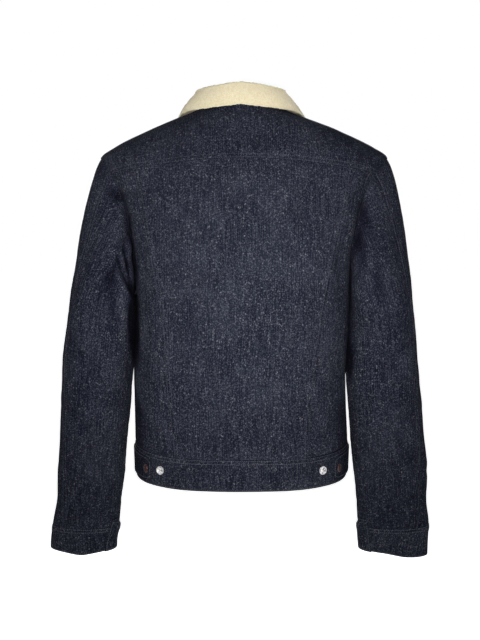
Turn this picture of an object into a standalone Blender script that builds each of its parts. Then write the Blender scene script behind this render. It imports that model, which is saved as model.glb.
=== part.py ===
"""Sherpa lined jacket: a hip length denim jacket with a folded sherpa collar.

It keeps the hollow form of a worn garment. Frame: +Z up, back of the garment towards +Y, the
wearer's left towards +X, and the origin in the middle of the neck, level with the shoulders.
Every length and table below is in millimetres and every angle in degrees; MM turns the finished
points into metres. Angles round the body run from 0 at the middle of the back to +180 at the
middle of the front, positive on the wearer's left. Angles round a sleeve run from 0 on its outer
side to +90 on its back and 180 on its inner side.
"""
import math
from collections import namedtuple
from functools import lru_cache

import bmesh
import bpy
from mathutils import Matrix, Vector

MM = 0.001
SIDES = {"left": 1.0, "right": -1.0}

# Steps of the grids: the two sides of every seam have the same
FLANK_ROWS = 9
BACK_ARM_ROWS = 8
FRONT_ARM_ROWS = 9
YOKE_ARM_ROWS = 2
SHOULDER_ROWS = 4
CENTER_COLUMNS = 14
SIDE_BACK_COLUMNS = 4
FRONT_COLUMNS = 12
CAP_ROWS = 8
ARM_ROWS = 13

# Cloth
BODY_WALL = 2.6
SLEEVE_WALL = 2.2
BAND_WALL = 3.0
TAB_WALL = 2.4
COLLAR_WALL = 4.5
SEAM_GAP = 0.3
LAYER_GAP = 0.4

# Heights of the main lines
WAIST_SEAM = -517.0
BAND_HEIGHT = 48.5
BACK_DIP = 13.5
UNDERARM = -284.0
SHOULDER_TIP = -66.0
YOKE_SEAM = -70.0
YOKE_DROP = 22.0
BICEPS = -332.0
CUFF_SEAM = -667.0
CUFF_HEIGHT = 45.0

# Lines seen from the side
SIDE_Y = -4.0
ARMHOLE_BACK = 58.0
ARMHOLE_FRONT = 50.0
ARMHOLE_SQUARENESS = 2.5

# Neckline, seen from above
NECK_HALF_WIDTH = 69.0
NECK_BACK = 60.0
NECK_FRONT = 82.0

# Front opening
LAP = 20.0
LAP_GAP = 1.1
LAP_MARGIN = 16.0
LAP_RAMP = 26.0
FRONT_BUTTONS = 5

BodySection = namedtuple("BodySection", "height half_width back_depth front_depth squareness sway")
BODY = (
    BodySection(-600, 168.5, 118, 122, 2.4, 0),
    BodySection(-560, 169.5, 121, 124, 2.4, 0),
    BodySection(-520, 170.5, 122, 126, 2.4, 0),
    BodySection(-470, 170, 121, 129, 2.4, 1.5),
    BodySection(-414, 169.5, 121, 131, 2.4, 3),
    BodySection(-330, 169.5, 124, 134, 2.4, -2),
    BodySection(-284, 171, 127, 136, 2.4, -2),
    BodySection(-240, 176, 129, 136, 2.4, -2),
    BodySection(-182, 187, 129, 132, 2.4, -2),
    BodySection(-135, 199, 123, 117, 2.3, -3),
    BodySection(-100, 211, 114, 101, 2.3, -3),
    BodySection(-66, 227, 100, 83, 2.2, -4),
    BodySection(-48, 203, 93, 75, 2.2, -4),
    BodySection(-22, 150, 82, 63, 2.2, -3),
    BodySection(-2, 100, 71, 53, 2.1, 0),
    BodySection(8, 74, 65, 47, 2.0, 1),
    BodySection(20, 56, 58, 40, 2.0, 0),
)

SeamRow = namedtuple("SeamRow", "height x")
SIDE_BACK_SEAM = (
    SeamRow(-560, 102),
    SeamRow(-534, 103),
    SeamRow(-431, 110),
    SeamRow(-355, 118),
    SeamRow(-278, 129),
    SeamRow(-201, 143),
    SeamRow(-125, 158),
    SeamRow(-80, 166),
)

SleeveSection = namedtuple(
    "SleeveSection", "height left_outer left_inner right_outer right_inner half_depth forward lean"
)
SLEEVE = (
    SleeveSection(-720, 320, 212, 312, 200, 24, 60, 10),
    SleeveSection(-700, 319, 211.5, 312, 198, 25, 57, 10),
    SleeveSection(-667, 314, 205, 312, 195, 28, 50, 10),
    SleeveSection(-625, 307, 199.5, 308, 191.5, 34, 43, 10),
    SleeveSection(-568, 302, 192, 306, 184, 41, 33, 9),
    SleeveSection(-517, 297, 187, 300, 179, 47, 23, 8),
    SleeveSection(-465, 294, 181, 293, 174, 52, 14, 7),
    SleeveSection(-414, 290, 176.5, 287, 170.5, 57, 7, 5),
    SleeveSection(-372, 287, 171.5, 282.5, 171.5, 61, 3, 2),
    SleeveSection(-332, 281, 168.8, 278.5, 173.2, 64, 0, 0),
)
SLEEVE_SQUARENESS = 2.2
BACK_SLEEVE_SEAM = 40.0
CAP_REACH = 235.0
UNDERARM_REACH = 40.0

# Largest folds of a sleeve: place and size on the cloth, a trough where depth is positive
Fold = namedtuple("Fold", "side turn height along across slope depth")
SLEEVE_FOLDS = (
    Fold("left", 118, -262, 62, 11, 0.18, 6.0),
    Fold("left", 96, -250, 50, 13, 0.35, 4.0),
    Fold("left", 70, -415, 45, 12, 1.1, 2.5),
    Fold("left", -60, -400, 60, 13, -0.9, 3.0),
    Fold("left", -95, -270, 60, 13, 0.25, 4.5),
    Fold("right", 112, -205, 60, 14, 0.2, 5.0),
    Fold("right", 92, -268, 45, 12, 0.4, 3.0),
    Fold("right", 75, -585, 42, 9, 1.0, 2.5),
    Fold("right", 40, -545, 45, 10, 1.1, 2.5),
    Fold("right", -65, -420, 60, 13, -0.8, 3.0),
    Fold("right", -100, -260, 60, 13, 0.3, 4.5),
)

CollarRow = namedtuple("CollarRow", "turn stand lean edge_turn edge_height edge_lift")
COLLAR = (
    CollarRow(0, 25, 5, 0, 10, 9),
    CollarRow(45, 23.5, 3.5, 45, 4, 7),
    CollarRow(90, 23.5, 8, 92, -0.5, 6),
    CollarRow(135, 24, 9, 126, -38, 5.5),
    CollarRow(174, 22, 0, 152, -116, 6.0),
)
COLLAR_OPENING = 5.0
COLLAR_CLEARANCE = 1.2
FOLD_RADIUS = 6.5

# Tabs, cuffs and buttons
TAB_HEIGHT = 35.0
TAB_END_X = {"left": 139.5, "right": 143.0}
TAB_START_TURN = 99.0
TAB_POINT = 5.0
CUFF_START = 196.0
CUFF_END = -206.0
CUFF_RAMP = 42.0
CUFF_TAB_RISE = 15.0
CUFF_TAB_TURN = 22.0
CUFF_LIFT = 0.6

# How a cuff's hem leaves a level line: raised, slanting down to its outer side, bulging down
CuffHem = namedtuple("CuffHem", "rise slant bulge")
CUFF_HEMS = {"left": CuffHem(4.5, 0.0, 6.0), "right": CuffHem(-2.5, 5.5, 0.0)}

BUTTON_RADIUS = 7.2
BUTTON_HEIGHT = 3.4
BUTTON_SEGMENTS = 14
TAB_BUTTON_INSET = 6.0
FREE_BUTTON_X = 125.0

DENIM = ("denim", (0.022, 0.028, 0.048, 1.0), 0.9, 0.0)
SHERPA = ("sherpa", (0.72, 0.62, 0.44, 1.0), 0.95, 0.0)
SILVER = ("silver_metal", (0.72, 0.72, 0.72, 1.0), 0.3, 1.0)
COPPER = ("copper_metal", (0.35, 0.16, 0.10, 1.0), 0.4, 1.0)


@lru_cache(maxsize=None)
def between(rows, position):
    """The row at a position between a table's rows, on smooth curves that never overshoot."""
    index = 0
    while index < len(rows) - 2 and rows[index + 1][0] < position:
        index += 1
    start, end = rows[index], rows[index + 1]
    span = end[0] - start[0]
    step = min(max((position - start[0]) / span, 0.0), 1.0)
    values = [position]
    for column in range(1, len(start)):
        rate_start = table_rate(rows, index, column)
        rate_end = table_rate(rows, index + 1, column)
        ease = step * step * (3 - 2 * step)
        value = start[column] + (end[column] - start[column]) * ease
        value += span * rate_start * step * (1 - step) ** 2
        value -= span * rate_end * (1 - step) * step ** 2
        values.append(value)
    return type(start)(*values)


def table_rate(rows, index, column):
    """How fast a column changes at a row: nothing at a turning point, else a safe mean."""
    if index in (0, len(rows) - 1):
        near = 1 if index == 0 else len(rows) - 2
        return (rows[near][column] - rows[index][column]) / (rows[near][0] - rows[index][0])
    before = (rows[index][column] - rows[index - 1][column]) / (rows[index][0] - rows[index - 1][0])
    after = (rows[index + 1][column] - rows[index][column]) / (rows[index + 1][0] - rows[index][0])
    if before * after <= 0:
        return 0.0
    return 2 * before * after / (before + after)


def smooth_step(value):
    value = min(max(value, 0.0), 1.0)
    return value * value * (3 - 2 * value)


def mix(start, end, share):
    return start + (end - start) * share


def oval_radius(turn, half_width, depth, squareness):
    """How far an oval reaches at an angle measured from its depth towards its width."""
    across = abs(math.sin(math.radians(turn))) / half_width
    along = abs(math.cos(math.radians(turn))) / depth
    return (across ** squareness + along ** squareness) ** (-1 / squareness)


def body_radius(turn, height):
    row = between(BODY, height)
    depth = row.back_depth if abs(turn) <= 90 else row.front_depth
    return oval_radius(turn, row.half_width, depth, row.squareness)


def body_face(turn, height):
    """A point of the body's outer face."""
    radius = body_radius(turn, height)
    angle = math.radians(turn)
    return Vector((
        between(BODY, height).sway + radius * math.sin(angle),
        radius * math.cos(angle),
        height,
    ))


def face_normal(face, first, second, outward):
    """The outward normal of a face function at a pair of its parameters."""
    small = 0.5
    along = face(first + small, second) - face(first - small, second)
    across = face(first, second + small) - face(first, second - small)
    normal = along.cross(across).normalized()
    return normal if normal.dot(outward) > 0 else -normal


def body_point(turn, height, lift=0.0):
    """A point moved straight out of the body's face, or into it where lift is negative."""
    point = body_face(turn, height)
    outward = Vector((point.x, point.y, 0)).normalized() + Vector((0, 0, 0.4))
    return point + face_normal(body_face, turn, height, outward) * lift


def turn_at_y(height, y, side):
    """The angle at which the body's face crosses a distance behind the middle."""
    row = between(BODY, height)
    depth = row.back_depth if y > 0 else row.front_depth
    x = row.half_width * (1 - abs(y / depth) ** row.squareness) ** (1 / row.squareness)
    return side * math.degrees(math.atan2(x, y))


def turn_at_x(height, x, side):
    """The angle at which the body's back reaches a distance from the middle."""
    row = between(BODY, height)
    y = row.back_depth * (1 - abs(x / row.half_width) ** row.squareness) ** (1 / row.squareness)
    return side * math.degrees(math.atan2(x, y))


def waist_line(turn):
    """Height of the waistband's seam, which dips towards the middle of the back."""
    if abs(turn) >= 90:
        return WAIST_SEAM
    return WAIST_SEAM - BACK_DIP * (1 - math.sin(math.radians(turn)) ** 8)


def neck_height(turn):
    """Height at which the body's face is as wide as the neckline."""
    depth = NECK_BACK if abs(turn) <= 90 else NECK_FRONT
    reach = oval_radius(turn, NECK_HALF_WIDTH, depth, 2.0)
    low, high = -120.0, 20.0
    for _ in range(40):
        middle = (low + high) / 2
        if body_radius(turn, middle) > reach:
            low = middle
        else:
            high = middle
    return low


def side_line(side, height):
    """The side seam below the armhole and the shoulder seam above it."""
    return turn_at_y(height, SIDE_Y, side), height


def armhole(side, turn):
    """The armhole as (body angle, height): 0 at the shoulder, 90 at the back, 180 underarm."""
    half_height = (SHOULDER_TIP - UNDERARM) / 2
    reach = ARMHOLE_BACK if math.sin(math.radians(turn)) >= 0 else ARMHOLE_FRONT
    radius = oval_radius(turn, reach, half_height, ARMHOLE_SQUARENESS)
    height = (SHOULDER_TIP + UNDERARM) / 2 + radius * math.cos(math.radians(turn))
    y = SIDE_Y + radius * math.sin(math.radians(turn))
    return turn_at_y(height, y, side), height


def armhole_turn_at(height, back):
    """The angle round the armhole at which it passes a height on its back or front half."""
    low, high = 0.0, 180.0
    for _ in range(40):
        middle = (low + high) / 2
        if armhole(1.0, middle if back else -middle)[1] > height:
            low = middle
        else:
            high = middle
    return low if back else -low


def yoke_line(side, share):
    """The back yoke's lower seam, from the middle of the back out to the armhole."""
    height = YOKE_SEAM - YOKE_DROP * share ** 2.5
    end = armhole(side, YOKE_TURN)[0]
    return end * share, height


YOKE_TURN = armhole_turn_at(YOKE_SEAM - YOKE_DROP, back=True)


def yoke_share_at_x(x):
    """How far along the yoke seam a distance from the middle of the back lies."""
    low, high = 0.0, 1.0
    for _ in range(40):
        middle = (low + high) / 2
        turn, height = yoke_line(1.0, middle)
        if body_face(turn, height).x < x:
            low = middle
        else:
            high = middle
    return low


SIDE_BACK_SHARE = yoke_share_at_x(SIDE_BACK_SEAM[-1].x)


def side_back_line(side, height):
    """The slanting back seam, which meets the yoke seam at its top."""
    return turn_at_x(height, between(SIDE_BACK_SEAM, height).x, side), height


def path(stops):
    """A line through stretches given as (share where it ends, function of 0 to 1)."""
    def walk(share):
        begin = 0.0
        for finish, stretch in stops:
            if share <= finish or finish == stops[-1][0]:
                return Vector(stretch(min(max((share - begin) / (finish - begin), 0.0), 1.0)))
            begin = finish
        return None
    return walk


def patch(bottom, top, left, right):
    """A flat patch filled in between four border lines that share their corners."""
    def inside(across, up):
        between_sides = left(up) * (1 - across) + right(up) * across
        between_ends = bottom(across) * (1 - up) + top(across) * up
        corners = bottom(0) * (1 - across) * (1 - up) + bottom(1) * across * (1 - up)
        corners += top(0) * (1 - across) * up + top(1) * across * up
        return between_sides + between_ends - corners
    return inside


def inset_share(share, length):
    """A share of a length, held half a seam gap away from both of its ends."""
    margin = SEAM_GAP / 2 / max(length, 1.0)
    return mix(margin, 1 - margin, share)


def finish_object(name, mesh, finish):
    """An object of the jacket with its own material."""
    label, color, roughness, metallic = finish
    material = bpy.data.materials.new(f"{name}_{label}")
    material.use_nodes = True
    shader = material.node_tree.nodes["Principled BSDF"]
    shader.inputs["Base Color"].default_value = color
    shader.inputs["Roughness"].default_value = roughness
    shader.inputs["Metallic"].default_value = metallic
    material.diffuse_color = color
    mesh.materials.append(material)
    mesh.shade_smooth()
    mesh.set_sharp_from_angle(angle=math.radians(50))
    piece = bpy.data.objects.new(name, mesh)
    bpy.data.collections["sherpa_lined_jacket"].objects.link(piece)
    return piece


def closed_mesh(name, cage):
    """A mesh of a closed cage, with its faces turned outwards."""
    if cage.calc_volume(signed=True) < 0:
        bmesh.ops.reverse_faces(cage, faces=cage.faces[:])
    mesh = bpy.data.meshes.new(name)
    cage.to_mesh(mesh)
    cage.free()
    return mesh


def cloth_wall(name, columns, rows, place, finish=DENIM):
    """A slab of one unit's thickness on a flat grid, every point of which is then placed.

    place(across, up, layer) takes shares from 0 to 1 and gives a point in millimetres; layer is
    0 on the outer face of the cloth and 1 on its inner face.
    """
    cage = bmesh.new()
    bmesh.ops.create_grid(cage, x_segments=columns, y_segments=rows, size=1.0)
    bmesh.ops.solidify(cage, geom=cage.faces[:], thickness=1.0)
    top = max(vertex.co.z for vertex in cage.verts)
    for vertex in cage.verts:
        across = (vertex.co.x + 1) / 2
        up = (vertex.co.y + 1) / 2
        vertex.co = place(across, up, top - vertex.co.z) * MM
    return finish_object(name, closed_mesh(name, cage), finish)


def body_panel(name, columns, rows, region, lift=None):
    """A panel of the body: region gives (body angle, height) and lift any step over its neighbour."""
    def chord(start, end):
        return (body_face(*start) - body_face(*end)).length

    def place(across, up, layer):
        inner_across = inset_share(across, chord(region(0, up), region(1, up)))
        inner_up = inset_share(up, chord(region(across, 0), region(across, 1)))
        turn, height = region(inner_across, inner_up)
        raised = lift(turn, height) if lift else 0.0
        return body_point(turn, height, raised - layer * BODY_WALL)

    return cloth_wall(name, columns, rows, place)


def make_back_yoke():
    """The yoke reaches from its arched seam over the shoulders to the back neckline."""
    rows = YOKE_ARM_ROWS + SHOULDER_ROWS
    columns = 2 * SIDE_BACK_COLUMNS + CENTER_COLUMNS
    turning = YOKE_ARM_ROWS / rows
    flank = 2 * SIDE_BACK_COLUMNS / columns
    top_turn = {side: side_line(side, neck_side_height())[0] for side in (1.0, -1.0)}

    def edge(side):
        return path((
            (turning, lambda share: armhole(side, mix(YOKE_TURN, 0, share))),
            (1.0, lambda share: side_line(side, mix(SHOULDER_TIP, neck_side_height(), share))),
        ))

    def bottom(across):
        signed = 1 - 2 * across
        past = abs(signed) - (1 - flank)
        if past > 0:
            share = mix(SIDE_BACK_SHARE, 1.0, past / flank)
        else:
            share = SIDE_BACK_SHARE * abs(signed) / (1 - flank)
        return Vector(yoke_line(1.0 if signed >= 0 else -1.0, share))

    def top(across):
        turn = mix(top_turn[1.0], top_turn[-1.0], across)
        return Vector((turn, neck_height(turn)))

    body_panel("back_yoke", columns, rows, patch(bottom, top, edge(1.0), edge(-1.0)))


def neck_side_height():
    """Height where the shoulder seam meets the neckline."""
    low, high = -30.0, 20.0
    for _ in range(40):
        middle = (low + high) / 2
        turn = side_line(1.0, middle)[0]
        if body_radius(turn, middle) > oval_radius(turn, NECK_HALF_WIDTH, NECK_FRONT, 2.0):
            low = middle
        else:
            high = middle
    return low


def make_back_center():
    """The middle of the back, between the two slanting seams."""
    rows = FLANK_ROWS + BACK_ARM_ROWS

    def bottom(across):
        turn = mix(side_back_start(1.0)[0], side_back_start(-1.0)[0], across)
        return Vector((turn, waist_line(turn)))

    def top(across):
        signed = 1 - 2 * across
        side = 1.0 if signed >= 0 else -1.0
        return Vector(yoke_line(side, abs(signed) * SIDE_BACK_SHARE))

    edges = [side_back_edge(side, FLANK_ROWS / rows) for side in (1.0, -1.0)]
    body_panel("back_center", CENTER_COLUMNS, rows, patch(bottom, top, *edges))


def side_back_edge(side, turning):
    """The slanting seam, with the same steps on both of the panels that it joins."""
    start = side_back_start(side)[1]
    finish = yoke_line(side, SIDE_BACK_SHARE)[1]
    return path((
        (turning, lambda share: side_back_line(side, mix(start, UNDERARM, share))),
        (1.0, lambda share: side_back_line(side, mix(UNDERARM, finish, share))),
    ))


def side_back_start(side):
    """Where the slanting seam meets the waistband's seam."""
    height = WAIST_SEAM
    for _ in range(6):
        turn = side_back_line(side, height)[0]
        height = waist_line(turn)
    return turn, height


def side_start(side):
    """Where the side seam meets the waistband's seam."""
    height = WAIST_SEAM
    for _ in range(6):
        turn = side_line(side, height)[0]
        height = waist_line(turn)
    return turn, height


def make_back_side(name, side):
    """A side back panel, from the slanting seam to the side seam and the armhole."""
    rows = FLANK_ROWS + BACK_ARM_ROWS
    turning = FLANK_ROWS / rows
    start = side_back_start(side)
    outer_start = side_start(side)

    outer = path((
        (turning, lambda share: side_line(side, mix(outer_start[1], UNDERARM, share))),
        (1.0, lambda share: armhole(side, mix(180, YOKE_TURN, share))),
    ))
    inner = side_back_edge(side, turning)

    def bottom(across):
        turn = mix(outer_start[0], start[0], across)
        return Vector((turn, waist_line(turn)))

    def top(across):
        return Vector(yoke_line(side, mix(1.0, SIDE_BACK_SHARE, across)))

    body_panel(name, SIDE_BACK_COLUMNS, rows, patch(bottom, top, outer, inner))


def front_lift(side):
    """The left front steps out over the right one where they lap."""
    def lift(turn, height):
        if side < 0:
            return 0.0
        x = body_face(turn, height).x
        if abs(turn) < 90:
            return 0.0
        return (BODY_WALL + LAP_GAP) * (1 - smooth_step((x - LAP - LAP_MARGIN) / LAP_RAMP))
    return lift


def front_edge_turn(side, height):
    """The angle of a front's edge, which passes the middle by the lap's width."""
    depth = body_radius(180, height)
    past = math.degrees(math.atan2(LAP, depth))
    return side * (180 + past)


def make_front(name, side):
    """A front, from its lapping edge to the side seam, the armhole and the shoulder seam."""
    rows = FLANK_ROWS + FRONT_ARM_ROWS + SHOULDER_ROWS
    turning = FLANK_ROWS / rows
    tip = (FLANK_ROWS + FRONT_ARM_ROWS) / rows
    neck = neck_side_height()
    outer_start = side_start(side)
    neck_front = neck_height(180 - 12)
    edge_low = waist_line(180)
    low_share = (UNDERARM + 40 - edge_low) / (neck_front - edge_low)

    outer = path((
        (turning, lambda share: side_line(side, mix(outer_start[1], UNDERARM, share))),
        (tip, lambda share: armhole(side, mix(-180, 0, share))),
        (1.0, lambda share: side_line(side, mix(SHOULDER_TIP, neck, share))),
    ))

    def edge_height(up):
        if up < turning:
            return mix(edge_low, mix(edge_low, neck_front, low_share), up / turning)
        return mix(mix(edge_low, neck_front, low_share), neck_front, (up - turning) / (1 - turning))

    def inner(up):
        height = edge_height(up)
        return Vector((front_edge_turn(side, height), height))

    def bottom(across):
        turn = mix(outer_start[0], front_edge_turn(side, edge_low), across)
        return Vector((turn, waist_line(turn) if abs(turn) < 180 else edge_low))

    def top(across):
        turn = mix(side_line(side, neck)[0], front_edge_turn(side, neck_front), across)
        folded = min(abs(turn), 360 - abs(turn))
        return Vector((turn, neck_height(folded)))

    body_panel(name, FRONT_COLUMNS, rows, patch(bottom, top, outer, inner), front_lift(side))


def sleeve_ring(side, turn, height):
    """A point on a ring of the sleeve, tipped forward with the forearm."""
    row = between(SLEEVE, height)
    outer, inner = (row.left_outer, row.left_inner) if side > 0 else (row.right_outer, row.right_inner)
    half_width = (outer - inner) / 2
    radius = oval_radius(90 - turn, half_width, row.half_depth, SLEEVE_SQUARENESS)
    across = radius * math.cos(math.radians(turn))
    behind = radius * math.sin(math.radians(turn))
    lean = math.radians(row.lean)
    return Vector((
        side * ((outer + inner) / 2 + across),
        -row.forward + behind * math.cos(lean),
        height - behind * math.sin(lean),
    ))


def fold_depth(side, turn, height):
    """How far the largest folds draw the sleeve's face in."""
    depth = 0.0
    for fold in SLEEVE_FOLDS:
        if SIDES[fold.side] != side:
            continue
        rise = height - fold.height
        run = (turn - fold.turn + 180) % 360 - 180
        gone = run - fold.slope * rise
        depth += fold.depth * math.exp(-(rise / fold.along) ** 2 - (gone / fold.across) ** 2)
    return depth


def cap_direction(side, turn):
    """The way the sleeve leaves the armhole: down the shoulder, out of the back, down at the arm."""
    angle = math.radians(turn)
    top = max(math.cos(angle), 0.0) ** 2
    low = max(-math.cos(angle), 0.0) ** 2
    level = math.sin(angle) ** 2
    behind = 0.22 * math.sin(angle)
    return Vector((
        side * (0.56 * top + 0.74 * level + 0.05 * low),
        behind * level,
        -(0.83 * top + 0.62 * level + 1.0 * low),
    )).normalized()


def cap_reach(turn):
    return mix(CAP_REACH, UNDERARM_REACH, (1 - math.cos(math.radians(turn))) / 2)


def leaving_line(side, turn):
    """How strongly the sleeve's face leaves the armhole."""
    return cap_direction(side, turn) * cap_reach(turn) * 0.6


def sleeve_face(side, turn, row):
    """A point of the sleeve: rows 0 to 1 are its cap, and beyond 1 it runs down the arm."""
    if row >= 1:
        height = BICEPS - (row - 1) * 100
        point = sleeve_ring(side, turn, height)
        centre = sleeve_ring(side, turn + 180, height)
        inward = (centre - point).normalized()
        return point + inward * fold_depth(side, turn, point.z)
    start = body_face(*armhole(side, turn))
    end = sleeve_ring(side, turn, BICEPS)
    leaving = leaving_line(side, turn)
    arriving = (sleeve_ring(side, turn, BICEPS - 5) - end).normalized() * cap_reach(turn) * 0.9
    ease = row * row * (3 - 2 * row)
    point = start.lerp(end, ease)
    point += leaving * (row * (1 - row) ** 2)
    point -= arriving * (row ** 2 * (1 - row))
    fade = smooth_step(row * 2.5)
    inward = Vector((side * 235, 0, point.z)) - point
    return point + inward.normalized() * fold_depth(side, turn, point.z) * fade


def sleeve_point(side, turn, row, lift=0.0):
    """A point moved straight out of the sleeve's face."""
    def face(first, second):
        return sleeve_face(side, first, second / 100)

    here = sleeve_face(side, turn, row)
    angle = math.radians(turn)
    outward = Vector((side * math.cos(angle), math.sin(angle), 0.25 if row < 1 else 0.0))
    return here + face_normal(face, turn, max(row, 0.006) * 100, outward) * lift


def cuff_row():
    """The row of the sleeve at which its cuff begins."""
    return 1 + (BICEPS - CUFF_SEAM) / 100


def back_seam_turn(row):
    """The sleeve's back seam leaves the end of the yoke seam and moves to its own line."""
    return mix(YOKE_TURN, BACK_SLEEVE_SEAM, smooth_step(row))


def make_sleeve_panel(name, side, steps):
    """A panel of a sleeve: steps gives (angle as a function of the row, columns up to there)."""
    columns = sum(count for _, count in steps)
    end_row = cuff_row() - SEAM_GAP / 200

    def turn_at(across, row):
        place = across * columns
        start = steps[0][0](row)
        for finish, count in steps[1:]:
            if place <= count or finish is steps[-1][0]:
                return mix(start, finish(row), place / count)
            place -= count
            start = finish(row)
        return None

    def place(across, up, layer):
        down = (1 - up) * (CAP_ROWS + ARM_ROWS)
        row = down / CAP_ROWS if down <= CAP_ROWS else mix(1, end_row, (down - CAP_ROWS) / ARM_ROWS)
        first, last = turn_at(0, row), turn_at(1, row)
        width = (sleeve_face(side, first, row) - sleeve_face(side, last, row)).length
        turn = turn_at(inset_share(across, max(width, 40.0)), row)
        row = max(row, SEAM_GAP / 2 / leaving_line(side, turn).length)
        return sleeve_point(side, turn, row, -layer * SLEEVE_WALL)

    cloth_wall(name, columns, CAP_ROWS + ARM_ROWS, place)


TOP_SLEEVE = (
    (lambda row: -180.0, 0),
    (lambda row: 0.0, FRONT_ARM_ROWS),
    (back_seam_turn, YOKE_ARM_ROWS),
)
UNDER_SLEEVE = ((back_seam_turn, 0), (lambda row: 180.0, BACK_ARM_ROWS))


def cuff_lift(turn):
    """The cuff's lapping end steps out over its other end."""
    step = SLEEVE_WALL + LAYER_GAP
    ramp = smooth_step((CUFF_END + CUFF_RAMP + 40 - turn) / 40)
    return CUFF_LIFT + step * ramp


def cuff_drop(hem, turn):
    """How far below the cuff's seam its hem lies."""
    angle = math.radians(turn)
    return CUFF_HEIGHT - hem.rise + hem.slant * math.cos(angle) + hem.bulge * math.sin(angle) ** 2


def make_cuff(name, side, hem):
    """A band round the sleeve's end whose back end laps over the other, with a short tab above."""
    def place(across, up, layer):
        turn = mix(CUFF_START, CUFF_END, across)
        tab = smooth_step((CUFF_END + CUFF_TAB_TURN - turn) / (CUFF_TAB_TURN / 2))
        height = CUFF_SEAM - cuff_drop(hem, turn) * (1 - up) + CUFF_TAB_RISE * tab * smooth_step(up)
        row = 1 + (BICEPS - height) / 100 + SEAM_GAP / 200
        return sleeve_point(side, turn, row, cuff_lift(turn) - layer * SLEEVE_WALL)

    cloth_wall(name, 34, 3, place)


def band_lift(turn):
    """The waistband's left end steps out over its right end, as the fronts do."""
    x = body_radius(turn, WAIST_SEAM) * math.sin(math.radians(turn))
    if abs(turn) < 90:
        return 0.0
    over = 1 - smooth_step((x - LAP - LAP_MARGIN) / LAP_RAMP) if turn > 0 else 0.0
    return (BAND_WALL + LAP_GAP) * over


def band_point(turn, up, lift):
    """A point on the waistband: up runs from 0 at the hem to 1 at its seam."""
    height = waist_line(turn) - 2 * SEAM_GAP - BAND_HEIGHT * (1 - up)
    return body_point(turn, height, lift)


def make_waistband():
    """One band round the hem, open at the middle front where its ends lap."""
    end_turn = front_edge_turn(1.0, WAIST_SEAM)

    def place(across, up, layer):
        turn = mix(end_turn, -end_turn, across)
        return band_point(turn, up, band_lift(turn) + 0.4 - layer * BAND_WALL)

    cloth_wall("waistband", 60, 3, place)


def make_waist_tab(name, side, end_x):
    """An adjuster tab laid on the band, from the side seam to its end on the back."""
    end_turn = turn_at_x(WAIST_SEAM - 20, end_x, 1.0)
    margin = (1 - TAB_HEIGHT / BAND_HEIGHT) / 2

    def place(across, up, layer):
        turn = side * mix(TAB_START_TURN, end_turn, across)
        point_off = TAB_POINT / BAND_HEIGHT * smooth_step((across - 0.9) / 0.1) * abs(2 * up - 1) ** 3
        share = mix(margin, 1 - margin, up)
        share += -point_off if up > 0.5 else point_off
        return band_point(turn, share, 0.4 + LAYER_GAP + TAB_WALL * (1 - layer))

    cloth_wall(name, 10, 3, place)


def collar_row(turn):
    return between(COLLAR, abs(turn))


def collar_section(turn, along):
    """A point of the collar's outer face: 0 at the neck seam, up the stand, over and down to 1."""
    side = 1.0 if turn >= 0 else -1.0
    row = collar_row(turn)
    seam = body_face(turn, neck_height(abs(turn)))
    outward = Vector((seam.x, seam.y, 0)).normalized()
    up = Vector((0, 0, 1))
    foot = seam + up * COLLAR_CLEARANCE - outward * 1.0
    shoulder = foot + up * row.stand - outward * row.lean
    edge = body_point(side * row.edge_turn, row.edge_height, row.edge_lift)
    crown = shoulder + outward * 2 * FOLD_RADIUS
    stand_end, fold_end = 0.3, 0.5
    if along < stand_end:
        return foot.lerp(shoulder, along / stand_end)
    if along < fold_end:
        bend = math.pi * (along - stand_end) / (fold_end - stand_end)
        return shoulder.lerp(crown, (1 - math.cos(bend)) / 2) + up * FOLD_RADIUS * math.sin(bend)
    share = (along - fold_end) / (1 - fold_end)
    bow = outward * 3.0 * math.sin(math.pi * share)
    return crown.lerp(edge, share) + bow


def make_collar():
    """Stand and fall in one thick piece, open at the middle front."""
    end_turn = 180 - COLLAR_OPENING

    def face(turn, along_percent):
        return collar_section(turn, along_percent / 100)

    def place(across, up, layer):
        turn = mix(end_turn, -end_turn, across)
        here = face(turn, up * 100)
        percent = min(max(up * 100, 0.6), 99.4)
        along = face(turn, percent + 0.5) - face(turn, percent - 0.5)
        around = face(turn + 0.5, percent) - face(turn - 0.5, percent)
        normal = along.cross(around).normalized()
        return here + normal * layer * COLLAR_WALL

    cloth_wall("collar", 32, 11, place, SHERPA)


def make_button(name, point, outward, finish):
    """A shank button: a turned dome with a rim and a sunk middle, standing on the cloth."""
    profile = ((0.0, 0.0), (0.9, 0.1), (1.0, 0.5), (0.85, 1.0), (0.55, 0.8), (0.0, 0.85))
    cage = bmesh.new()
    previous = None
    for radius, height in profile:
        vertex = cage.verts.new((radius * BUTTON_RADIUS * MM, 0, height * BUTTON_HEIGHT * MM))
        if previous:
            cage.edges.new((previous, vertex))
        previous = vertex
    bmesh.ops.spin(
        cage, geom=cage.verts[:] + cage.edges[:], cent=(0, 0, 0), axis=(0, 0, 1),
        angle=math.tau, steps=BUTTON_SEGMENTS, use_merge=True,
    )
    bmesh.ops.remove_doubles(cage, verts=cage.verts[:], dist=0.00001)
    bmesh.ops.recalc_face_normals(cage, faces=cage.faces[:])
    turned = outward.normalized().to_track_quat("Z", "Y").to_matrix().to_4x4()
    place = Matrix.Translation((point + outward.normalized() * SEAM_GAP) * MM) @ turned
    bmesh.ops.transform(cage, matrix=place, verts=cage.verts[:])
    finish_object(name, closed_mesh(name, cage), finish)


def body_button(name, turn, height, lift, finish):
    point = body_point(turn, height, lift)
    make_button(name, point, body_point(turn, height, lift + 1) - point, finish)


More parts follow.
